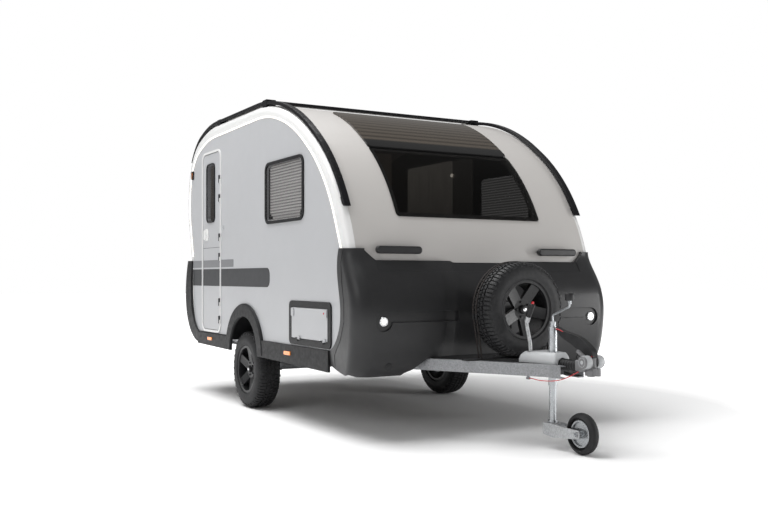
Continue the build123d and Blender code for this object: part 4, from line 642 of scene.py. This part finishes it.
def make_wheel(tyre_node, place, body):
    """Tyre in place of its plain solid, with the cap, nuts and boss in front of the rim."""
    shape = bmesh.new()
    lathe(shape, [(r, w) for s, r, w in SECTION] + [SECTION[0][1:]], place, TYRE_STEPS)
    for k in range(PITCHES):
        start = 2.0 * math.pi * k / PITCHES
        for shares, reach, height in LUGS:
            lug(shape, place, start, shares, reach, height)
    tread = piece(tyre_node + "_tread", shape, finish["tyre_rubber"], body)
    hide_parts(tyre_node)
    shape = bmesh.new()
    lathe(shape, CAP_PROFILE, place, 40)
    for k in range(NUTS):
        turn = 2.0 * math.pi * (k + 0.5) / NUTS
        nut = place @ Matrix.Translation((NUT_CIRCLE * math.cos(turn), NUT_CIRCLE * math.sin(turn), 0.0))
        lathe(shape, NUT_PROFILE, nut, 6)
    piece(tyre_node + "_cap", shape, finish["wheel_black"], body)
    turned(tyre_node + "_boss", BOSS_PROFILE, [place], 32, bright_metal, body)


def wheel_place(x, y, z, first, second):
    """Frame in millimetres with two given axes in the wheel's plane."""
    out = Vector(first).cross(Vector(second))
    turn = Matrix((Vector(first), Vector(second), out)).transposed().to_4x4()
    return Matrix.Translation(at(x, y, z)) @ turn @ Matrix.Scale(0.001, 4)


make_wheel("tyre_right", wheel_place(0, -WHEEL_Y, WHEEL_Z, (1, 0, 0), (0, 0, 1)), "wheel_right")
make_wheel("tyre_left", wheel_place(0, WHEEL_Y, WHEEL_Z, (-1, 0, 0), (0, 0, 1)), "wheel_left")
make_wheel("spare_tyre", wheel_place(SPARE_X, 0, SPARE_Z, (0, 1, 0), (0, 0, 1)), BODY)

# Two-tone stripes, divided at the door
DARK_Z = (1105, 1273)
LIGHT_Z = (1289, 1362)
STRIPE_REAR = -1476
DARK_FRONT = 600
LIGHT_FRONT = -280
DARK_CORNER = 62
LIGHT_CORNER = 10
SQUARE = 1
DOOR_TRIM = (-1178, -616)
DOOR_FACE = (-1147, -648)
FILM_BACK = WALL_Y - 0.4
FILM_FACE = WALL_Y + 0.9
FILM_EDGE = 0.4


def stripe(name, side, spans, heights, material, body):
    """Thin film on a wall; each span has its start, its end and the radius of its front corners."""
    shape = bmesh.new()
    for start, end, r in spans:
        outline = rounded((start, heights[0]), (end, heights[1]), (r, r, SQUARE, SQUARE))
        plate(shape, outline, FILM_BACK, FILM_FACE, FILM_EDGE, side)
    piece(name, shape, material, body)


for tone, heights, front, corner, film in (("dark", DARK_Z, DARK_FRONT, DARK_CORNER, stripe_dark),
                                           ("light", LIGHT_Z, LIGHT_FRONT, LIGHT_CORNER, stripe_light)):
    right = [(STRIPE_REAR, DOOR_TRIM[0], SQUARE), (DOOR_TRIM[1], front, corner)]
    stripe("stripe_right_" + tone, right_side, right, heights, film, BODY)
    stripe("stripe_door_" + tone, right_side, [(*DOOR_FACE, SQUARE)], heights, film, "door")
    stripe("stripe_left_" + tone, left_side, [(STRIPE_REAR, front, corner)], heights, film, BODY)

# Pleated blinds behind the side windows, with their catches and side guides
BLIND_Y = WALL_Y - 28
BLIND_COLUMNS = (BLIND_X[0], 720, 905, 1090, BLIND_X[1])
PLEAT_DEPTH = 4.6
PLEAT_STEPS = 8
CATCH_X = (590, 1215)
CATCH_BACK = WALL_Y - 21
GUIDE_X = (546, 1258)
for name, side in (("blind_right", right_side), ("blind_left", left_side)):
    shape = bmesh.new()
    rows = []
    for k in range(PLEATS * PLEAT_STEPS + 1):
        z = BLIND_Z[0] + (BLIND_Z[1] - BLIND_Z[0]) * k / (PLEATS * PLEAT_STEPS)
        fold = math.asin(math.sin(2.0 * math.pi * k / PLEAT_STEPS)) * 2.0 / math.pi
        depth = BLIND_Y + PLEAT_DEPTH * fold
        rows.append([shape.verts.new(side(x, z, depth)) for x in BLIND_COLUMNS])
    skin(shape, rows, closed=False)
    cloth = piece(name, shape, finish["blind_fabric"], BODY, 20.0)
    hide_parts("blinds")
    shape = bmesh.new()
    for x in CATCH_X:
        plate(shape, rounded((x - 26, 1690), (x + 26, 1712), 8), CATCH_BACK, CATCH_BACK + 7, 2, side)
        plate(shape, rounded((x - 9, 1696), (x + 9, 1732), 7), CATCH_BACK + 6, CATCH_BACK + 11, 2, side)
    for x in GUIDE_X:
        plate(shape, rounded((x - 5, 1690), (x + 5, 2135), 4), CATCH_BACK, CATCH_BACK + 5, 1.5, side)
    piece(name + "_catches", shape, finish["black_trim"], BODY)

# Lining, a dark plate of painted shade for the doorway, and a lamp on the far inner wall, seen through the
# front window; lining and doorway carry a painted glow
INNER_Z = (700, 2390)
INNER_BACK = WALL_Y - 35
LINING_FACE = WALL_Y - 50
DOORWAY_FACE = WALL_Y - 43
flat("inner_lining", rounded((-830, INNER_Z[0]), (40, INNER_Z[1]), 20), INNER_BACK, LINING_FACE, -4,
     left_side, lining, "interior_panel")
# Doorway: dark plate of painted shade.
flat("inner_doorway", rounded((50, INNER_Z[0]), (400, INNER_Z[1]), 12), INNER_BACK, DOORWAY_FACE, -3,
     left_side, doorway_painted_shade, "interior_panel")
turned("inner_lamp", [(0, 12), (14, 10), (18, 4), (19, 0)], [stand(45, LINING_FACE, 2240, (0, -1, 0))], 24,
       finish["light_strip"])

# Door: seam, lock, window seal and hinge caps, with the keeper on the wall beside it
SEAM_Z = (1483, 1487)
LOCK_PROFILE = [(0, 5), (7, 5), (7.5, 3.5), (9.5, 3.5), (11, 2), (11, -2)]
KEEPER_X = -552
KEEPER_Z = 1672
HINGE_X = -642.5
HINGE_Y = -1163
HINGE_HEIGHTS = (778, 949, 1390, 1580, 1962, 2148)
HINGE_PROFILE = [(0, 39.5), (6, 39), (8.3, 37), (8.3, -37), (6, -39), (0, -39.5)]
flat("door_seam", rounded((DOOR_FACE[0], SEAM_Z[0]), (DOOR_FACE[1], SEAM_Z[1]), 1.5), FILM_BACK,
     WALL_Y + 0.6, 0.3, right_side, finish["black_trim"], "black_trim", "door")
turned("door_lock", LOCK_PROFILE, [stand(-1010, -1157, 1618, (0, -1, 0))], 28, bright_metal,
       "door")
shape = bmesh.new()
ring_plate(shape, rounded((-1039, 1735), (-791, 2328), 58), 15, WALL_Y, WALL_Y + 10.5, 3, right_side)
piece("door_window_seal", shape, finish["black_trim"], "door")
shape = bmesh.new()
keeper = rounded((KEEPER_X - 10, KEEPER_Z - 16), (KEEPER_X + 10, KEEPER_Z + 16), 8)
plate(shape, keeper, WALL_Y - 0.5, WALL_Y + 10, 3, right_side)
pin = stand(KEEPER_X, -WALL_Y, KEEPER_Z, (0, -1, 0))
lathe(shape, [(0, 20), (5, 19.5), (7, 17), (7, 0)], pin, 24)
piece("door_keeper", shape, knob_grey, BODY)
turned("door_hinge_caps", HINGE_PROFILE, [stand(HINGE_X, HINGE_Y, z, (0, 0, 1)) for z in HINGE_HEIGHTS], 24,
       finish["black_trim"], "door")

# Bezels round the outline lamps, and the service hatch's lock mark
shape = bmesh.new()
for side in (right_side, left_side):
    ring_plate(shape, rounded((-1491, 2216), (-1451, 2303), 9), 11, WALL_Y - 1, WALL_Y + 19, 2, side)
piece("outline_lamp_bezels", shape, finish["black_trim"], BODY)
turned("hatch_lock", [(0, 2), (6, 2), (8, 1), (8, -3)], [stand(1693, -1171, 916, (0, -1, 0))], 24,
       red_plastic, "service_hatch")

# Reflector rings of the front lamps and round modules of the rear lamps
FRONT_LAMP = (2259.5, 969, 873)
FRONT_RING = [(24, 4), (26, 6), (31, 6), (34.5, 2), (35, -4), (24, -4), (24, 4)]
REAR_LAMP_X = -1790
REAR_LAMP_Y = 955
REAR_LAMP_HEIGHTS = (940, 1040, 1140)
REAR_MODULE = [(0, 6), (18, 5), (20, 8), (30, 8), (32, 4), (44, 3), (47, 6), (50, 6), (52, 0), (52, -6)]
lamp_x, lamp_y, lamp_z = FRONT_LAMP
front_places = [stand(lamp_x, side * lamp_y, lamp_z, (1, 0, 0)) for side in SIDES]
rear_places = [stand(REAR_LAMP_X, side * REAR_LAMP_Y, z, (-1, 0, 0))
               for side in SIDES for z in REAR_LAMP_HEIGHTS]
turned("front_lamp_rings", FRONT_RING, front_places, 40, bright_metal)
turned("rear_lamp_modules", REAR_MODULE, rear_places, 40, finish["lamp_red"])

# Towing-eye plugs and the panel gap down each front bumper corner, laid on the bumper's own skin
PLUG_Y = 900
PLUG_Z = 545
PLUG_PROFILE = [(0, 2), (22, 2), (25, 3.5), (29, 3.5), (31, 1.5), (31, -8)]
AHEAD_X = 2600
ASIDE_Y = 1500
GAP_LINE = [(2002, 1392), (1978, 1298), (1998, 1160), (2036, 1013), (2038, 865), (1972, 729), (1866, 620),
            (1858, 520)]
GAP_STEPS = 8
GAP_RADIUS = 0.0022
skin_tree = BVHTree.FromObject(nodes["front_bumper"], bpy.context.evaluated_depsgraph_get())
plugs = []
for side in SIDES:
    seat, normal = skin_tree.ray_cast(at(AHEAD_X, side * PLUG_Y, PLUG_Z), Vector((-1, 0, 0)))[:2]
    plugs.append(facing(seat, normal))
turned("bumper_plugs", PLUG_PROFILE, plugs, 32, finish["cast_black"])
shape = bmesh.new()
for side in SIDES:
    path = []
    for (x0, z0), (x1, z1) in zip(GAP_LINE, GAP_LINE[1:]):
        for k in range(GAP_STEPS):
            share = k / GAP_STEPS
            start = at(x0 + share * (x1 - x0), side * ASIDE_Y, z0 + share * (z1 - z0))
            hit = skin_tree.ray_cast(start, Vector((0, -side, 0)))[0]
            if hit is not None:
                path.append(hit)
    pipe(shape, path, GAP_RADIUS, 8)
piece("bumper_gap_lines", shape, finish["black_trim"], BODY)

# Apron that closes the front bumper above the drawbar
APRON = [(-560, 596), (-470, 500), (470, 500), (560, 596), (540, 640), (-540, 640)]
APRON_X = (2120, 2140)
flat("bumper_apron", APRON, *APRON_X, 6, facing_front, finish["bumper_plastic"], "bumper_plastic")

# Handbrake: ribbed grip with its release button
LEVER_Y = -72.3
GRIP_RIBS = 7
grip_foot = Vector((2764, LEVER_Y, 908))
grip_axis = Vector((2812, LEVER_Y, 1003)) - grip_foot
grip_length = grip_axis.length
grip_place = stand(*grip_foot, grip_axis)
grip = [(14, 0), (19, 3)]
for k in range(GRIP_RIBS):
    z = 10 + k * (grip_length - 34) / GRIP_RIBS
    grip += [(20.5, z), (20.5, z + 7), (19, z + 9)]
grip += [(21.5, grip_length - 22), (22.5, grip_length - 12), (21, grip_length - 3), (16, grip_length),
         (0, grip_length + 0.5)]
button = [(9, grip_length - 2), (9, grip_length + 12), (7.5, grip_length + 15), (0, grip_length + 16)]
turned("handbrake_grip", grip, [grip_place], 32, finish["grip_plastic"])
turned("handbrake_button", button, [grip_place], 28, red_plastic)

# Coupling: friction-pad knobs, wear mark and grip inlay
KNOB_PROFILE = [(44.6, -32), (45.4, -28), (45.4, 10), (43, 17), (37, 22), (30, 24.5), (27, 23), (14, 23),
                (12, 25), (0, 25.5)]
INLAY_Y = -20.2
INLAY_RADIUS = 0.0032
INLAY = [(3006, 834), (3026, 831), (3050, 825), (3078, 817.5)]
turned("coupling_knobs", KNOB_PROFILE, [stand(3336, side * 60, 628, (0, side, 0)) for side in SIDES], 48,
       knob_grey)
shape = bmesh.new()
pipe(shape, [at(x, INLAY_Y, z) for x, z in INLAY], INLAY_RADIUS)
lathe(shape, [(0, 3), (6, 3), (8, 1), (8, -4)], stand(3368, -17, 668, (0.5, -1, 0.1)), 20)
piece("coupling_marks", shape, red_plastic, BODY)

# Jockey wheel: crank knob, with its heights from the ground, and axle nuts
CRANK_KNOB = [(13.5, 1030), (28, 1031), (31.8, 1037), (32.4, 1050), (31.8, 1058), (32.4, 1066), (31.5, 1076),
              (27, 1082.4), (0, 1083)]
AXLE_NUT = [(0, 10), (9, 9.5), (11, 7), (11, 2), (17, 2), (17, -3)]
turned("crank_knob", CRANK_KNOB, [stand(3120, 0, 0, (0, 0, 1))], 40, finish["grip_plastic"],
       crease=50.0)
turned("jockey_axle_nuts", AXLE_NUT, [stand(3250, side * 66, 140, (0, side, 0)) for side in SIDES], 6, zinc,
       "jockey_fork")

# Bolts along the drawbar arms, by place and half of the arms' spread there
BOLT_SPOTS = ((2790, 172), (2950, 130), (3080, 96))
BOLT_Z = 548
BOLT_PROFILE = [(0, 8), (9, 7.5), (11, 5.5), (11, 1.5), (16, 1.5), (16, -6)]
bolts = [stand(x, side * half, BOLT_Z, (0.25, side, 0)) for x, half in BOLT_SPOTS for side in SIDES]
turned("drawbar_bolts", BOLT_PROFILE, bolts, 6, zinc, crease=30.0)

# Strap buckles beside the spare tyre: a frame and its tongue
STRAP_X = (2481, 2518)
BUCKLE_Y = 351
BUCKLE_Z = 905
BUCKLE = (((-11, -20), (11, 20), 3, -1, 4), ((-7, -3), (7, 3), 2, 3, 6))
shape = bmesh.new()
for x in STRAP_X:
    for side in SIDES:
        on_strap = on_frame(stand(x, side * BUCKLE_Y, BUCKLE_Z, (0, side, 0)))
        for low, high, r, back, face in BUCKLE:
            plate(shape, rounded(low, high, r), back, face, 1, on_strap)
piece("strap_buckles", shape, finish["cast_black"], BODY)

# Breakaway cable on the route of its solid
CABLE_ROUTE = [(2886.3, -160, 488), (2926, -160, 488), (2984, -148, 480), (3050, -132, 482),
               (3116, -114, 488), (3178, -92, 508), (3237.3, -72.2, 537.4), (3291.7, -66.03, 565.86)]
CABLE_DIAMETER = 0.006
cable_curve = bpy.data.curves.new("breakaway_line", "CURVE")
cable_curve.dimensions = "3D"
cable_curve.bevel_depth = CABLE_DIAMETER / 2
cable_curve.bevel_resolution = 3
cable_curve.use_fill_caps = True
cable_curve.resolution_u = 16
spline = cable_curve.splines.new("NURBS")
spline.points.add(len(CABLE_ROUTE) - 1)
for knot, spot in zip(spline.points, CABLE_ROUTE):
    knot.co = (*at(*spot), 1.0)
spline.order_u = 3
spline.use_endpoint_u = True
cable_curve.materials.append(finish["red_cord"])
cable = bpy.data.objects.new("breakaway_line", cable_curve)
scene.collection.objects.link(cable)
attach(cable, BODY)
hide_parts("breakaway_cable")

# Stage: pale floor that fades into the white backdrop
FLOOR_HALF = 60.0
FLOOR_Z = -0.001
GLOW_START = 3.0
GLOW_FULL = 5.2
WHITE = (1.0, 1.0, 1.0, 1.0)
floor_mesh = bpy.data.meshes.new("studio_floor")
shape = bmesh.new()
bmesh.ops.create_grid(shape, x_segments=1, y_segments=1, size=FLOOR_HALF)
shape.to_mesh(floor_mesh)
shape.free()
floor = bpy.data.objects.new("studio_floor", floor_mesh)
scene.collection.objects.link(floor)
floor.location.z = FLOOR_Z
floor_mat, floor_tree, floor_shader = new_material("studio_floor")
floor_place = coords(floor_tree)
floor_shader.inputs["Roughness"].default_value = 0.8
floor_shader.inputs["Specular IOR Level"].default_value = 0.1
floor_tone = ramp(floor_tree, noise(floor_tree, floor_place, 0.3),
                  [(0.3, (0.96, 0.96, 0.96)), (0.7, (0.97, 0.97, 0.97))])
floor_tree.links.new(floor_tone, floor_shader.inputs["Base Color"])
floor_reach = node(floor_tree, "ShaderNodeVectorMath", operation="LENGTH")
floor_tree.links.new(floor_place, floor_reach.inputs["Vector"])
floor_glow = spread(floor_tree, floor_reach.outputs["Value"], 0.0, 1.0, GLOW_START, GLOW_FULL)
floor_shader.inputs["Emission Color"].default_value = WHITE
floor_tree.links.new(floor_glow, floor_shader.inputs["Emission Strength"])
floor_mesh.materials.append(floor_mat)

# The backdrop is white to the eye; the object itself is lit by a dimmer room and the lamps.
ROOM_LIGHT = 0.25
world = bpy.data.worlds.new("studio")
scene.world = world
world.use_nodes = True
world_tree = world.node_tree
backdrop = world_tree.nodes["Background"]
ray = node(world_tree, "ShaderNodeLightPath")
room = spread(world_tree, ray.outputs["Is Camera Ray"], ROOM_LIGHT, 1.0, 0.0, 1.0)
world_tree.links.new(room, backdrop.inputs["Strength"])
backdrop.inputs["Color"].default_value = WHITE


def area_light(name, spot, toward, size, power):
    """Rectangular lamp at a spot, turned toward a point, both in metres of the frame."""
    data = bpy.data.lights.new(name, "AREA")
    data.shape = "RECTANGLE"
    data.size, data.size_y = size
    data.energy = power
    lamp = bpy.data.objects.new(name, data)
    scene.collection.objects.link(lamp)
    lamp.location = spot
    lamp.rotation_euler = (Vector(toward) - Vector(spot)).to_track_quat("-Z", "Y").to_euler()


area_light("overhead", (-1.2, -2.2, 8.0), (0.0, 0.0, 0.0), (7.5, 6.5), 1000.0)
area_light("far_strip", (4.6, 4.8, 1.6), (1.4, -0.4, 0.9), (0.5, 2.8), 110.0)
area_light("side_fill", (3.0, -9.0, 5.5), (0.0, 0.0, 1.6), (5.0, 3.0), 105.0)
